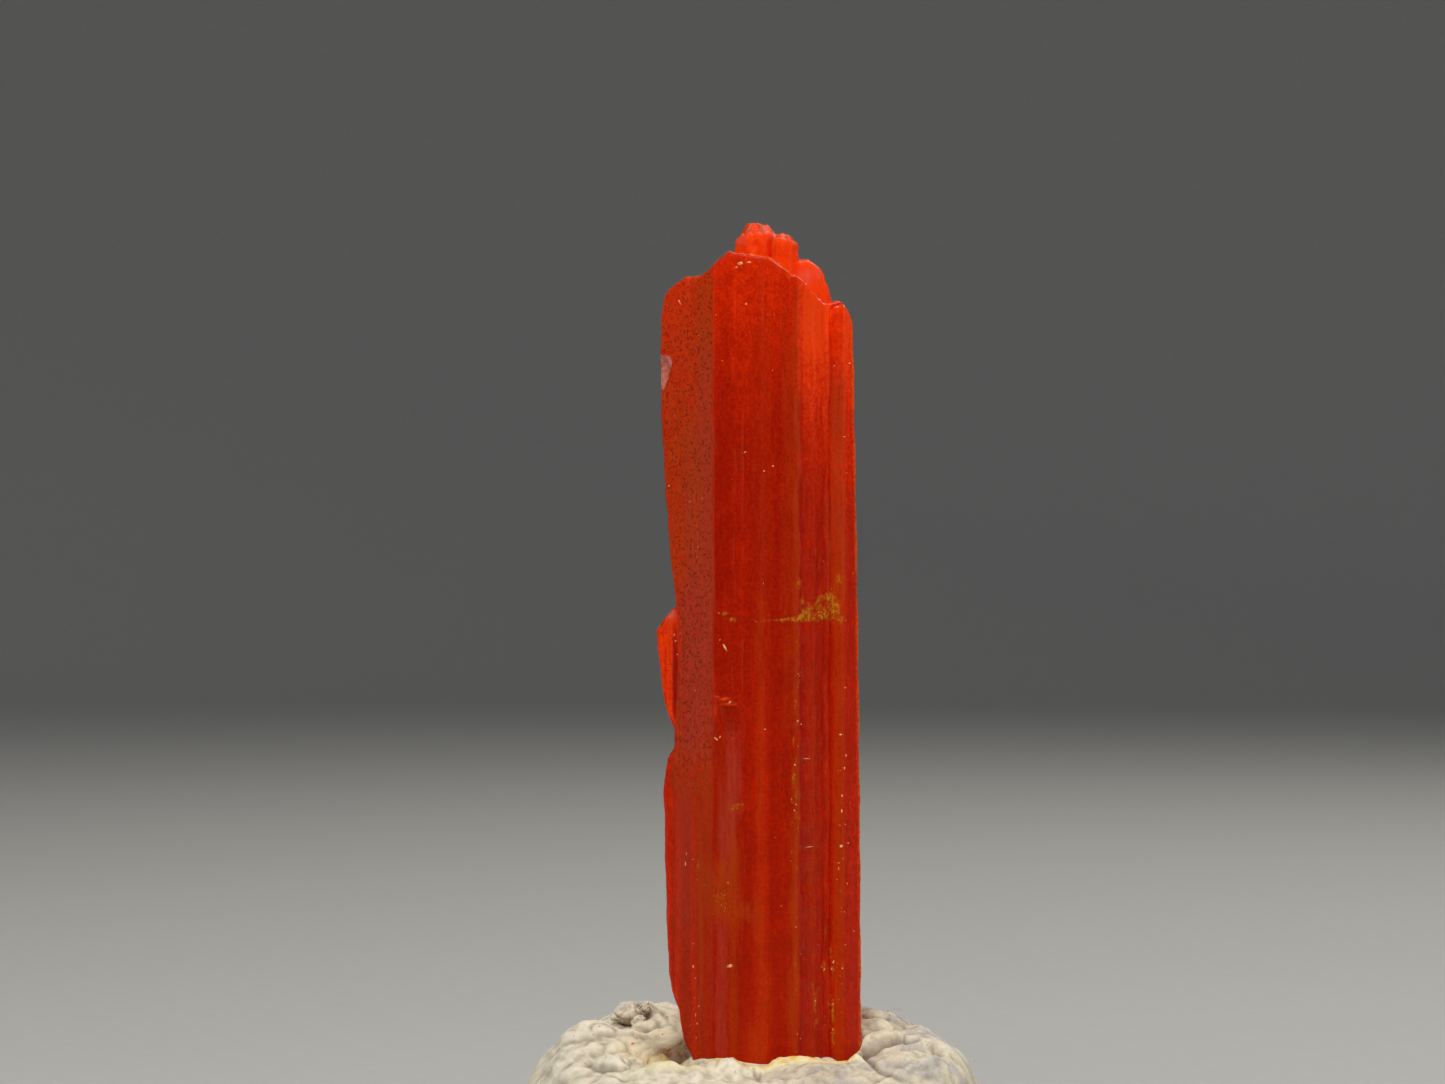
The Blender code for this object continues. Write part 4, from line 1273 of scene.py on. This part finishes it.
def random_draw(tree, kind, low, high, seed):
    """A random value for each grain. Its kind is VALUE or VECTOR."""
    node = add_node(tree, "FunctionNodeRandomValue", {"Seed": seed},
                    data_type="FLOAT_VECTOR" if kind == "VECTOR" else "FLOAT")
    ends = [s for s in node.inputs if s.name in ("Min", "Max") and s.type == kind]
    for socket, value in zip(ends, (low, high)):
        feed(tree, socket, value)
    return next(s for s in node.outputs if s.type == kind)


def grain_tree():
    """Scatters small angular grains where the surface's own place attribute says."""
    tree, given = geometry_tree("scatter_grains", (
        ("Grains per square metre", "NodeSocketFloat", 1e6),
        ("Place", "NodeSocketString", "sparkle"),
        ("Smallest", "NodeSocketFloat", 0.00003),
        ("Largest", "NodeSocketFloat", 0.0001),
        ("Stretch", "NodeSocketVector", (1.0, 1.0, 1.0)),
        ("Seed", "NodeSocketInt", 1),
        ("Finish", "NodeSocketMaterial", None),
    ))
    seed = given["Seed"]
    place = add_node(tree, "GeometryNodeInputNamedAttribute", {"Name": given["Place"]},
                     data_type="FLOAT")
    points = add_node(tree, "GeometryNodeDistributePointsOnFaces", {
        "Mesh": given["Geometry"], "Seed": seed,
        "Density": maths(tree, "MULTIPLY", place.outputs["Attribute"],
                         given["Grains per square metre"]),
    })

    grain = add_node(tree, "GeometryNodeMeshIcoSphere", {"Radius": 1.0, "Subdivisions": 2})
    where = tree.nodes.new("GeometryNodeInputPosition")
    rough = add_node(tree, "ShaderNodeTexNoise", {"Vector": where.outputs[0], "Scale": 1.3})
    shift = vector_maths(tree, "SUBTRACT", a=rough.outputs["Color"], b=(0.5, 0.5, 0.5))
    angular = add_node(tree, "GeometryNodeSetPosition", {
        "Geometry": grain.outputs["Mesh"],
        "Offset": vector_maths(tree, "SCALE", a=shift, scale=1.6),
    })

    uneven = random_draw(tree, "VECTOR", (0.6, 0.6, 0.6), (1.4, 1.4, 1.4), seed)
    size = random_draw(tree, "VALUE", given["Smallest"], given["Largest"], seed)
    drawn_out = vector_maths(tree, "MULTIPLY", a=uneven, b=given["Stretch"])
    placed = add_node(tree, "GeometryNodeInstanceOnPoints", {
        "Points": points.outputs["Points"], "Instance": angular.outputs["Geometry"],
        "Rotation": random_draw(tree, "VECTOR", (0.0, 0.0, 0.0), (6.28, 6.28, 6.28), seed),
        "Scale": vector_maths(tree, "SCALE", a=drawn_out, scale=size),
    })
    return end_tree(tree, placed.outputs[0], given["Finish"])


def hair_tree():
    """Turns lines into thin hairs."""
    tree, given = geometry_tree("thin_hairs", (
        ("Hair radius", "NodeSocketFloat", 0.00002),
        ("Finish", "NodeSocketMaterial", None),
    ))
    curve = add_node(tree, "GeometryNodeMeshToCurve", {"Mesh": given["Geometry"]})
    circle = add_node(tree, "GeometryNodeCurvePrimitiveCircle",
                      {"Resolution": 6, "Radius": given["Hair radius"]})
    tube = add_node(tree, "GeometryNodeCurveToMesh", {
        "Curve": curve.outputs["Curve"], "Profile Curve": circle.outputs["Curve"],
        "Fill Caps": True,
    })
    return end_tree(tree, tube.outputs[0], given["Finish"])


def grown(name, mesh, tree, values):
    """A new piece from a mesh and a Geometry Nodes tree, as a plain mesh."""
    obj = linked(name, mesh)
    step = obj.modifiers.new(tree.name, "NODES")
    step.node_group = tree
    for item in tree.interface.items_tree:
        if item.item_type == "SOCKET" and item.in_out == "INPUT" and item.name in values:
            step[item.identifier] = values[item.name]
    finished_mesh(obj)
    obj.data.name = name
    return obj


def placed_flakes(crystal):
    """The larger bright flakes and dashes on the front, as painted glints, each at its own place.
    """
    tree = ray_tree(crystal.data)
    rng = random.Random(21)
    places, ball_faces = ball(2)
    points, faces = [], []
    for x, z, length, width, turn in GLINT_FLAKES:
        hit, normal = tree.ray_cast(Vector((x, -20.0, z)) * MM, Vector((0.0, 1.0, 0.0)))[:2]
        if hit is None:
            continue
        hit = hit / MM
        across = Vector((0.0, 0.0, 1.0)).cross(-normal).normalized()
        up = (-normal).cross(-across)
        lean = math.radians(turn)
        long_way = across * math.cos(lean) + up * math.sin(lean)
        short_way = up * math.cos(lean) - across * math.sin(lean)
        faces += [tuple(len(points) + index for index in face) for face in ball_faces]
        for place in places:
            swell = 1 + rng.uniform(-0.22, 0.22)
            point = hit + long_way * (place.x * swell * length / 2.3)
            rise = normal * (place.z * 0.022 + 0.006)
            point += short_way * (place.y * swell * width / 2.4) + rise
            points.append(point)
    return mesh_from("placed_flakes", points, faces)


def hair_lines(starts, seed):
    """Curling lines that start on the putty, as a mesh of edges only."""
    rng = random.Random(seed)
    points, edges = [], []
    for (x, y, z), heading, length in starts:
        turn = rng.uniform(-0.12, 0.12)
        pitch = 0.9
        part = length / HAIR_STEPS
        for k in range(HAIR_STEPS):
            points.append((x, y, z))
            if k:
                edges.append((len(points) - 2, len(points) - 1))
            x += math.cos(heading) * math.cos(pitch) * part
            y += math.sin(heading) * math.cos(pitch) * part
            z += math.sin(pitch) * part
            heading += turn + rng.uniform(-0.08, 0.08)
            pitch -= 2.1 / HAIR_STEPS + rng.uniform(-0.05, 0.05)
    mesh = bpy.data.meshes.new("hair_lines")
    mesh.from_pydata([(a * MM, b * MM, c * MM) for a, b, c in points], edges, [])
    return mesh


# ---- Finishes ----


def group_tree(name, inputs, outputs):
    """A shader node group, its named inputs as Values, and a way to feed its named outputs."""
    tree = bpy.data.node_groups.new(name, "ShaderNodeTree")
    for label, value in inputs:
        socket = tree.interface.new_socket(label, in_out="INPUT", socket_type="NodeSocketFloat")
        socket.default_value = value
    for label in outputs:
        tree.interface.new_socket(label, in_out="OUTPUT", socket_type="NodeSocketFloat")
    entry, result = (tree.nodes.new(kind) for kind in ("NodeGroupInput", "NodeGroupOutput"))

    def give(**values):
        for label, value in values.items():
            feed(tree, result.inputs[label], value)

    return tree, {label: Value(tree, entry.outputs[label]) for label, _ in inputs}, give


def colour_mix(tree, share, below, above):
    """One colour over another by a share. A plain colour has three numbers."""
    below, above = ((*c, 1.0) if isinstance(c, tuple) else c for c in (below, above))
    mixed = add_node(tree, "ShaderNodeMix", {0: share, 6: below, 7: above}, data_type="RGBA")
    return mixed.outputs[2]


def layered(tree, colour, layers):
    """A colour with others laid over it in turn, each as (share, colour)."""
    for share, above in layers:
        colour = colour_mix(tree, share, colour, above)
    return colour


def millimetre_place(tree):
    """The place on the piece in millimetres."""
    coordinates = tree.nodes.new("ShaderNodeTexCoord")
    scaled = add_node(tree, "ShaderNodeMapping", {
        "Vector": coordinates.outputs["Object"], "Scale": (1 / MM, 1 / MM, 1 / MM),
    })
    return scaled.outputs[0]


def noise_value(tree, place, scale, detail=2.0, roughness=0.5):
    node = add_node(tree, "ShaderNodeTexNoise", {
        "Vector": place, "Scale": scale, "Detail": detail, "Roughness": roughness,
    })
    return Value(tree, node.outputs["Fac"])


def blotch_group():
    """Soft blotches of one size, for smudges, stains and colour changes."""
    tree, given, give = group_tree(
        "blotches", (("Blotches per mm", 1.0), ("Cover", 0.5), ("Softness", 0.1)), ("Mask",))
    cloud = noise_value(tree, millimetre_place(tree), given["Blotches per mm"], 4.0, 0.6)
    edge = 1.0 - given["Cover"]
    give(Mask=cloud.between(edge - given["Softness"], edge + given["Softness"]))
    return tree


def speck_group():
    """Scattered small specks or pits of one size."""
    tree, given, give = group_tree("specks", (
        ("Specks per mm", 6.0), ("Speck size", 0.25), ("Share kept", 0.5), ("Warp in mm", 0.0),
    ), ("Mask", "Depth"))
    place = millimetre_place(tree)
    wander = add_node(tree, "ShaderNodeTexNoise", {"Vector": place, "Scale": 2.6, "Detail": 1.0})
    shift = vector_maths(tree, "SUBTRACT", a=wander.outputs["Color"], b=(0.5, 0.5, 0.5))
    shift = vector_maths(tree, "SCALE", a=shift, scale=given["Warp in mm"])
    warped = vector_maths(tree, "ADD", a=place, b=shift)
    cells = add_node(tree, "ShaderNodeTexVoronoi", {
        "Vector": warped, "Scale": given["Specks per mm"], "Randomness": 1.0,
    })
    draw = add_node(tree, "ShaderNodeSeparateColor", {"Color": cells.outputs["Color"]})
    kept = maths(tree, "LESS_THAN", draw.outputs[0], given["Share kept"])
    outer = given["Speck size"] * (Value(tree, wander.outputs["Fac"]) * 2.2 - 0.3)
    shape = 1.0 - Value(tree, cells.outputs["Distance"]).between(outer * 0.4, outer)
    mask = shape * kept
    give(Mask=mask, Depth=mask * -1.0)
    return tree


def streak_group():
    """Fine upright streaks, for the crystal's striations and its inner bands."""
    tree, given, give = group_tree(
        "upright_streaks", (("Streaks per mm", 4.0), ("Length", 12.0)), ("Mask", "Height"))
    parts = add_node(tree, "ShaderNodeSeparateXYZ", {0: millimetre_place(tree)}).outputs
    height = maths(tree, "DIVIDE", parts[2], given["Length"])
    drawn_out = add_node(tree, "ShaderNodeCombineXYZ", {0: parts[0], 1: parts[1], 2: height})
    lines = noise_value(tree, drawn_out.outputs[0], given["Streaks per mm"], 3.0, 0.65)
    give(Mask=lines.between(0.32, 0.68), Height=lines)
    return tree


def skin_group():
    """Patches of fine bent ridges, pressed in by skin."""
    tree, given, give = group_tree(
        "skin_ridges", (("Ridges per mm", 2.0), ("Bend", 1.5)), ("Height",))
    place = millimetre_place(tree)
    ridges = add_node(tree, "ShaderNodeTexWave", {
        "Vector": place, "Scale": maths(tree, "DIVIDE", given["Ridges per mm"], 3.2),
        "Distortion": given["Bend"], "Detail": 1.0, "Detail Scale": 0.5,
    }, wave_type="RINGS", rings_direction="SPHERICAL")
    where = noise_value(tree, place, 0.33, 1.0).between(0.5, 0.6)
    give(Height=Value(tree, ridges.outputs["Fac"]) * where)
    return tree


def placed_group(tree, group, **values):
    """One use of a shared group, with its own values. Its outputs are Values by name."""
    node = tree.nodes.new("ShaderNodeGroup")
    node.node_tree = group
    for key, value in values.items():
        node.inputs[key.replace("_", " ")].default_value = value
    return {socket.name: Value(tree, socket) for socket in node.outputs}


def blotches(tree, groups, *sizes):
    """Masks of blotches, one for each (blotches per mm, cover, softness)."""
    uses = (
        placed_group(tree, groups["blotches"], Blotches_per_mm=size, Cover=cover, Softness=soft)
        for size, cover, soft in sizes
    )
    return [use["Mask"] for use in uses]


def attribute(tree, name):
    """A value that the piece keeps for each of its points."""
    node = tree.nodes.new("ShaderNodeAttribute")
    node.attribute_name = name
    return Value(tree, node.outputs["Fac"])


def new_material(name):
    made = bpy.data.materials.new(name)
    made.use_nodes = True
    return made, made.node_tree, made.node_tree.nodes["Principled BSDF"]


def finish_shader(tree, shader, colour, rough, **constants):
    """Feeds a shader its colour and roughness, and sets what is the same all over."""
    feed(tree, shader.inputs["Base Color"], colour)
    feed(tree, shader.inputs["Roughness"], rough)
    for key, value in constants.items():
        shader.inputs[key.replace("_", " ")].default_value = value


def bump(tree, shader, layers):
    """Stacks Bump nodes, each as (height, strength, distance in millimetres)."""
    below = {}
    for height, strength, distance in layers:
        node = add_node(tree, "ShaderNodeBump", {
            "Height": height, "Strength": strength, "Distance": distance * MM, **below,
        })
        below = {"Normal": node.outputs["Normal"]}
    tree.links.new(below["Normal"], shader.inputs["Normal"])


# The crystal's reds, which the painted glow runs through from deep red to orange
DEEP_RED = (0.3, 0.0035, 0.0003)
BODY_RED = (0.38, 0.0072, 0.0005)
WARM_RED = (0.54, 0.014, 0.0006)
BRIGHT_RED = (0.76, 0.026, 0.001)
PAINTED_GLOW_ORANGE = (0.97, 0.056, 0.003)
PAINTED_GLOW_STOPS = (
    (0.0, DEEP_RED), (0.26, BODY_RED), (0.55, WARM_RED), (0.8, BRIGHT_RED), (1.0, PAINTED_GLOW_ORANGE),
)
FACET_RED = (0.54, 0.017, 0.0012)
FACET_TAN = (0.48, 0.055, 0.01)
FACET_OCHRE = (0.58, 0.066, 0.0015)
TAN_BROWN = (0.45, 0.047, 0.003)
PAINTED_SHEEN_PURPLE = (0.45, 0.04, 0.024)
CRUST_AMBER = (0.46, 0.068, 0.002)
CRUST_GOLD = (0.62, 0.25, 0.008)
PAINTED_HIGHLIGHT_PINK = (0.66, 0.24, 0.2)
PAINTED_RIM_ORANGE = (0.95, 0.2, 0.006)
PIT_DARK = (0.16, 0.007, 0.001)


def painted_glow_ramp(tree, value):
    """The crystal's red, from deep where it is thick to orange where it is thin, as a painted glow
    of light coming through.
    """
    ramp = add_node(tree, "ShaderNodeValToRGB", {"Fac": value})
    stops = ramp.color_ramp.elements
    while len(stops) < len(PAINTED_GLOW_STOPS):
        stops.new(0.5)
    for stop, (place, colour) in zip(stops, PAINTED_GLOW_STOPS):
        stop.position, stop.color = place, (*colour, 1.0)
    return ramp.outputs["Color"]


def crocoite(groups):
    """The crystal's finish: deep red with a painted glow where thin, a pitted facet, painted sheen,
    rim light and highlights, and stains.
    """
    made, tree, shader = new_material("crocoite")
    streaks = placed_group(tree, groups["streaks"], Streaks_per_mm=1.1, Length=26.0)["Mask"]
    ribs = placed_group(tree, groups["streaks"], Streaks_per_mm=7.0, Length=9.0)
    fine = ribs["Mask"]
    clouds, small, tiny, marks = blotches(
        tree, groups, (0.8, 0.5, 0.16), (3.6, 0.5, 0.12), (8.0, 0.5, 0.12), (8.0, 0.42, 0.04))
    pits = placed_group(tree, groups["specks"], Specks_per_mm=6.5, Speck_size=0.42,
                        Share_kept=0.6, Warp_in_mm=0.2)["Mask"]
    flecks = placed_group(tree, groups["specks"], Specks_per_mm=3.0, Speck_size=0.16,
                          Share_kept=0.14, Warp_in_mm=0.2)["Mask"]
    facet, lit_edge, rim = (attribute(tree, name) for name in ("matte_facet", "worn_edge", "rim"))

    # Painted glow, with the crystal's own changes of tone from its streaks and blotches
    glow = attribute(tree, "glow") + streaks * 0.14 + fine * 0.06 + clouds * 0.08
    glow = glow + small * 0.1 + tiny * 0.2 - 0.06
    mottled = colour_mix(tree, small, FACET_RED, FACET_TAN)
    mottled = layered(tree, mottled, ((tiny * 0.5, FACET_OCHRE), (glow * 0.6, BRIGHT_RED)))
    broken = (tiny * 0.35 + 0.65) * (fine * 0.4 + 0.6)
    tan = attribute(tree, "tan") * broken
    pitted = marks.larger(pits) * (attribute(tree, "pitted") * 0.55 + 0.12)
    # Painted pale orange light along the rims and sharp edges where the crystal is thin, partly
    # dust
    painted_rim_light = lit_edge.between(0.5, 1.0).held_sum(rim) * (tiny * 0.75 + 0.1)
    crust = (small * 0.25 + attribute(tree, "crust")).between(0.25, 1.2)
    colour = layered(tree, painted_glow_ramp(tree, glow), (
        (facet * 0.85, mottled),
        # Painted sheen
        (attribute(tree, "film") * broken, PAINTED_SHEEN_PURPLE),
        (tan, TAN_BROWN),
        # Painted orange glow and highlights
        (attribute(tree, "orange") * (small * 0.5 + 0.5), PAINTED_GLOW_ORANGE),
        (pitted, PIT_DARK),
        (flecks * 0.3, BRIGHT_RED),
        (painted_rim_light, PAINTED_RIM_ORANGE),
        (crust * 0.85, CRUST_AMBER),
        ((fine * 0.5 + tiny * 0.6).between(0.4, 0.7) * crust, CRUST_GOLD),
        # Painted highlights
        (attribute(tree, "fresh_break") * (tiny * 0.3 + 0.6), PAINTED_HIGHLIGHT_PINK),
    ))
    rough = facet * 0.3 + 0.21 + fine * 0.07 + crust * 0.35 + tan * 0.15
    rough = rough.held_sum(lit_edge.between(0.12, 0.4).larger(rim) * 0.6)
    finish_shader(
        tree, shader, colour, rough, Metallic=0.0, IOR=1.5, Specular_IOR_Level=0.28,
        Specular_Tint=(1.0, 0.38, 0.15, 1.0), Subsurface_Weight=0.4, Subsurface_Scale=0.0012,
        Subsurface_Radius=(1.0, 0.16, 0.05),
    )
    bump(tree, shader, (
        (ribs["Height"], 0.4, 0.035), (pitted * -1.0, 0.7, 0.04), (tiny, 0.2, 0.012),
        (crust * small, 0.8, 0.06),
    ))
    return made


PUTTY_PALE = (0.97, 0.88, 0.67)
PUTTY_DULL = (0.88, 0.79, 0.6)
PUTTY_SHADE = (0.5, 0.42, 0.3)
PUTTY_GREY = (0.35, 0.33, 0.36)
PUTTY_BROWN = (0.42, 0.32, 0.19)
PUTTY_CHALK = (0.84, 0.8, 0.69)
PUTTY_CRUMBLY = (0.5, 0.4, 0.27)
PUTTY_LIT_SAND = (1.0, 0.87, 0.48)
PUTTY_LIT_YELLOW = (0.96, 0.6, 0.11)
PUTTY_HIGHLIGHT = (0.95, 0.9, 0.76)
PUTTY_CREASE_SHADE = (0.14, 0.1, 0.06)
PUTTY_SHADOW_BROWN = (0.17, 0.062, 0.01)
PUTTY_GRIT = (0.11, 0.1, 0.1)


def putty_finish(groups):
    """The putty's finish: off-white and dull, smudged grey, with painted yellow light by the
    crystal's foot, painted shade and shadows, and painted highlights on raised lumps.
    """
    made, tree, shader = new_material("putty")
    broad, smudge, medium, small, crumbly = blotches(
        tree, groups, (0.32, 0.5, 0.14), (0.85, 0.47, 0.07), (1.9, 0.4, 0.07), (3.4, 0.45, 0.1),
        (6.0, 0.4, 0.08))
    grit = placed_group(tree, groups["specks"], Specks_per_mm=4.0, Speck_size=0.2, Share_kept=0.18)
    pits = placed_group(tree, groups["specks"], Specks_per_mm=2.6, Speck_size=0.22, Share_kept=0.4)
    skin = placed_group(tree, groups["skin"], Ridges_per_mm=2.3, Bend=1.6)
    fine = noise_value(tree, millimetre_place(tree), 7.0, 5.0, 0.6)
    # Painted shade, darker and greyer towards the right
    grime = attribute(tree, "grime")
    # Painted yellow-orange light thrown by the crystal
    warm = attribute(tree, "warm") * (small * 0.3 + 0.65)
    # Painted highlights on raised lumps
    raised = attribute(tree, "worn_edge") * (grime * -0.3 + 0.45) * (1.0 - warm)
    colour = layered(tree, colour_mix(tree, broad, PUTTY_PALE, PUTTY_DULL), (
        (grime * 0.45, PUTTY_SHADE),
        (smudge * (grime * 0.4 + 0.2), PUTTY_GREY),
        (medium * 0.3, PUTTY_BROWN),
        (small * (broad * 0.4 + 0.15), PUTTY_CHALK),
        (crumbly * (grime * 0.16 + 0.16), PUTTY_CRUMBLY),
        (warm * 1.7, PUTTY_LIT_SAND),
        (warm.between(0.5, 0.95), PUTTY_LIT_YELLOW),
        (raised, PUTTY_HIGHLIGHT),
        # Painted shade in creases and hollows
        (attribute(tree, "hollow") * (warm * -0.6 + 0.85), PUTTY_CREASE_SHADE),
        # Painted dark shadows
        (attribute(tree, "stain") * (small * 0.15 + 0.85), PUTTY_SHADOW_BROWN),
        (grit["Mask"] * 0.7, PUTTY_GRIT),
    ))
    finish_shader(
        tree, shader, colour, (fine * 0.3).held_sum(0.55), Metallic=0.0, Subsurface_Weight=0.12,
        Subsurface_Scale=0.0008, Subsurface_Radius=(1.0, 0.7, 0.45),
    )
    bump(tree, shader, (
        (fine, 0.6, 0.05), (pits["Depth"], 0.7, 0.06), (small, 0.3, 0.05),
        (skin["Height"], 0.35, 0.04),
    ))
    return made


def grain_finish(name, groups, dark, light, roughness):
    """The finish of loose grains, between a dark and a light colour from grain to grain."""
    made, tree, shader = new_material(name)
    change = blotches(tree, groups, (5.0, 0.5, 0.06))[0]
    finish_shader(tree, shader, colour_mix(tree, change, dark, light),
                  (change * 0.15).held_sum(roughness), Metallic=0.0)
    bump(tree, shader, ((change, 0.3, 0.02),))
    return made


# ---- Stage, lights and camera ----

STAGE_FLAT = 520.0
STAGE_CURVE = 260.0
STAGE_TOP = 1200.0
STAGE_TURNS = 96
CURVE_ROWS = 16

LIGHT_TARGET = (0.0, 0.0, 24.0)
# Square soft lights, as (place, width, power, colour)
LIGHTS = {
    "key": ((-70.0, -155.0, 209.0), 150.0, 0.44, (1.0, 0.98, 0.95)),
    "fill": ((185.0, -160.0, 70.0), 240.0, 0.25, (0.97, 0.98, 1.0)),
    "rim": ((110.0, 120.0, 260.0), 320.0, 0.46, (1.0, 0.95, 0.86)),
}
ROOM_COLOUR = (0.85, 0.88, 0.92, 1.0)
ROOM_POWER = 0.22
CAMERA_PLACE = (-1.5, -150.0, 29.2)
CAMERA_LENS = 92.8


def make_stage():
    """A plain pale floor that sweeps up into a backdrop."""
    made, tree, shader = new_material("pale_paper")
    paper = noise_value(tree, millimetre_place(tree), 0.8, 4.0)
    finish_shader(tree, shader, colour_mix(tree, paper, (0.52, 0.52, 0.51), (0.56, 0.56, 0.55)),
                  0.9, Metallic=0.0)
    line = [(0.001, 0.0), (150.0, 0.0), (STAGE_FLAT, 0.0)]
    for k in range(1, CURVE_ROWS + 1):
        angle = math.pi / 2 * k / CURVE_ROWS
        out, up = math.sin(angle), 1 - math.cos(angle)
        line.append((STAGE_FLAT + STAGE_CURVE * out, STAGE_CURVE * up))
    line.append((STAGE_FLAT + STAGE_CURVE, STAGE_TOP))
    angles = [2 * math.pi * k / STAGE_TURNS for k in range(STAGE_TURNS)]
    points = [(r * math.cos(angle), r * math.sin(angle), z) for r, z in line for angle in angles]
    faces = []
    for row in range(len(line) - 1):
        low = row * STAGE_TURNS
        high = low + STAGE_TURNS
        for k in range(STAGE_TURNS):
            nxt = (k + 1) % STAGE_TURNS
            faces.append((high + k, high + nxt, low + nxt, low + k))
    floor = mesh_from("paper_sweep", points, faces)
    shade_smooth(floor.data)
    floor.data.materials.append(made)


def make_lights():
    """Three soft lights, and a dim even room around them."""
    for name, (place, width, power, colour) in LIGHTS.items():
        data = bpy.data.lights.new(name, "AREA")
        data.shape = "RECTANGLE"
        data.size = data.size_y = width * MM
        data.energy = power
        data.color = colour
        light = linked(name, data)
        light.location = Vector(place) * MM
        toward = Vector(LIGHT_TARGET) - Vector(place)
        light.rotation_euler = toward.to_track_quat("-Z", "Y").to_euler()
    world = bpy.data.worlds.new("soft_room")
    world.use_nodes = True
    background = world.node_tree.nodes["Background"]
    background.inputs["Color"].default_value = ROOM_COLOUR
    background.inputs["Strength"].default_value = ROOM_POWER
    bpy.context.scene.world = world
    bpy.context.scene.view_settings.view_transform = "Standard"


def make_camera():
    """The camera at the photograph's viewing angle."""
    data = bpy.data.cameras.new("camera")
    data.sensor_width = 36.0
    data.lens = CAMERA_LENS
    data.clip_start, data.clip_end = 0.005, 5.0
    camera = linked("camera", data)
    camera.location = Vector(CAMERA_PLACE) * MM
    camera.rotation_euler = (math.pi / 2, 0.0, 0.0)
    bpy.context.scene.camera = camera


# ---- Putting it together ----

# Loose pieces' finishes, as (dark colour, light colour, roughness)
GRAIN_FINISHES = {
    "bright_flake": ((0.85, 0.22, 0.05), (0.92, 0.5, 0.22), 0.25),
    "yellow_crust": ((0.5, 0.09, 0.005), (0.62, 0.24, 0.015), 0.6),
    "orange_shard": ((0.8, 0.16, 0.01), (0.92, 0.36, 0.03), 0.3),
    "dark_hair": ((0.06, 0.05, 0.045), (0.16, 0.14, 0.12), 0.6),
    "pale_hair": ((0.6, 0.58, 0.54), (0.78, 0.76, 0.7), 0.6),
}
HAIR_RADIUS = 0.014
# Hairs, each as (start, heading, length)
DARK_HAIRS = (
    ((-4.9, 2.5, 10.1), 0.3, 0.7), ((-4.8, 2.6, 10.1), 2.4, 0.6), ((-5.2, 2.2, 9.9), -0.6, 0.6),
)
PALE_HAIRS = (
    ((5.0, 2.4, 9.8), 0.4, 1.3), ((4.4, 2.3, 9.9), 1.7, 0.9), ((-6.6, 2.6, 9.5), 2.5, 0.9),
    ((6.6, -2.0, 9.2), -0.4, 0.8), ((8.5, -0.2, 8.3), 0.2, 0.35),
)


def scatter(name, piece, tree, finish, place, per_square_mm, sizes, seed, **more):
    """Grains on a piece where its named place attribute says, of sizes in millimetres."""
    return grown(name, piece.data, tree, {
        "Grains per square metre": per_square_mm * 1e6, "Place": place,
        "Smallest": sizes[0] * MM, "Largest": sizes[1] * MM, "Seed": seed, "Finish": finish, **more,
    })


def dress():
    """Builds every piece, gives it its finish and fixes it to the frame."""
    groups = {"blotches": blotch_group(), "specks": speck_group(), "streaks": streak_group(),
              "skin": skin_group()}
    red, clay = crocoite(groups), putty_finish(groups)
    loose = {name: grain_finish(name, groups, *look) for name, look in GRAIN_FINISHES.items()}
    glint = loose["bright_flake"]

    crystal = make_crystal()
    crystal.data.materials.clear()
    crystal.data.materials.append(red)
    putty = make_putty(crystal)
    putty.data.materials.append(clay)
    crumb = crumb_blobs()
    crumb.data.materials.append(clay)

    grains, hairs = grain_tree(), hair_tree()
    # Painted glints: bright grains and flakes on the crystal
    flakes = scatter("crystal_flakes", crystal, grains, glint, "sparkle", 9.0, (0.01, 0.024), 4,
                     Stretch=(1.0, 0.6, 2.2))
    larger = placed_flakes(crystal)
    larger.data.materials.append(glint)
    crust = scatter("yellow_crust_grains", crystal, grains, loose["yellow_crust"], "crust", 34.0,
                    (0.01, 0.024), 7, Stretch=(1.0, 1.0, 1.8))
    crumbs = scatter("orange_specks", putty, grains, loose["orange_shard"], "crumb_place", 0.5,
                     (0.015, 0.055), 11)
    dark, light = (
        grown(name, hair_lines(starts, seed), hairs,
              {"Hair radius": HAIR_RADIUS * MM, "Finish": loose[finish]})
        for name, starts, seed, finish in (
            ("dark_hairs", DARK_HAIRS, 3, "dark_hair"), ("pale_hairs", PALE_HAIRS, 8, "pale_hair"),
        )
    )

    for piece in (crystal, putty, crumb, flakes, larger, crust, crumbs, dark, light):
        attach(piece, "root")
    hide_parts("crocoite_crystal")
    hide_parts("putty_base")


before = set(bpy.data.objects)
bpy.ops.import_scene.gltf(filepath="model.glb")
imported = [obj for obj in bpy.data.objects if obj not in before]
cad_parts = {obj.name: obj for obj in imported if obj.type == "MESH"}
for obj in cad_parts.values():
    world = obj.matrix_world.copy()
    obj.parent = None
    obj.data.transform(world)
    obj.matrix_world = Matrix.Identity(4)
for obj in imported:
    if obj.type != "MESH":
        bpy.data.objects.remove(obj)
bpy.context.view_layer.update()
make_camera()
make_lights()
make_stage()
dress()
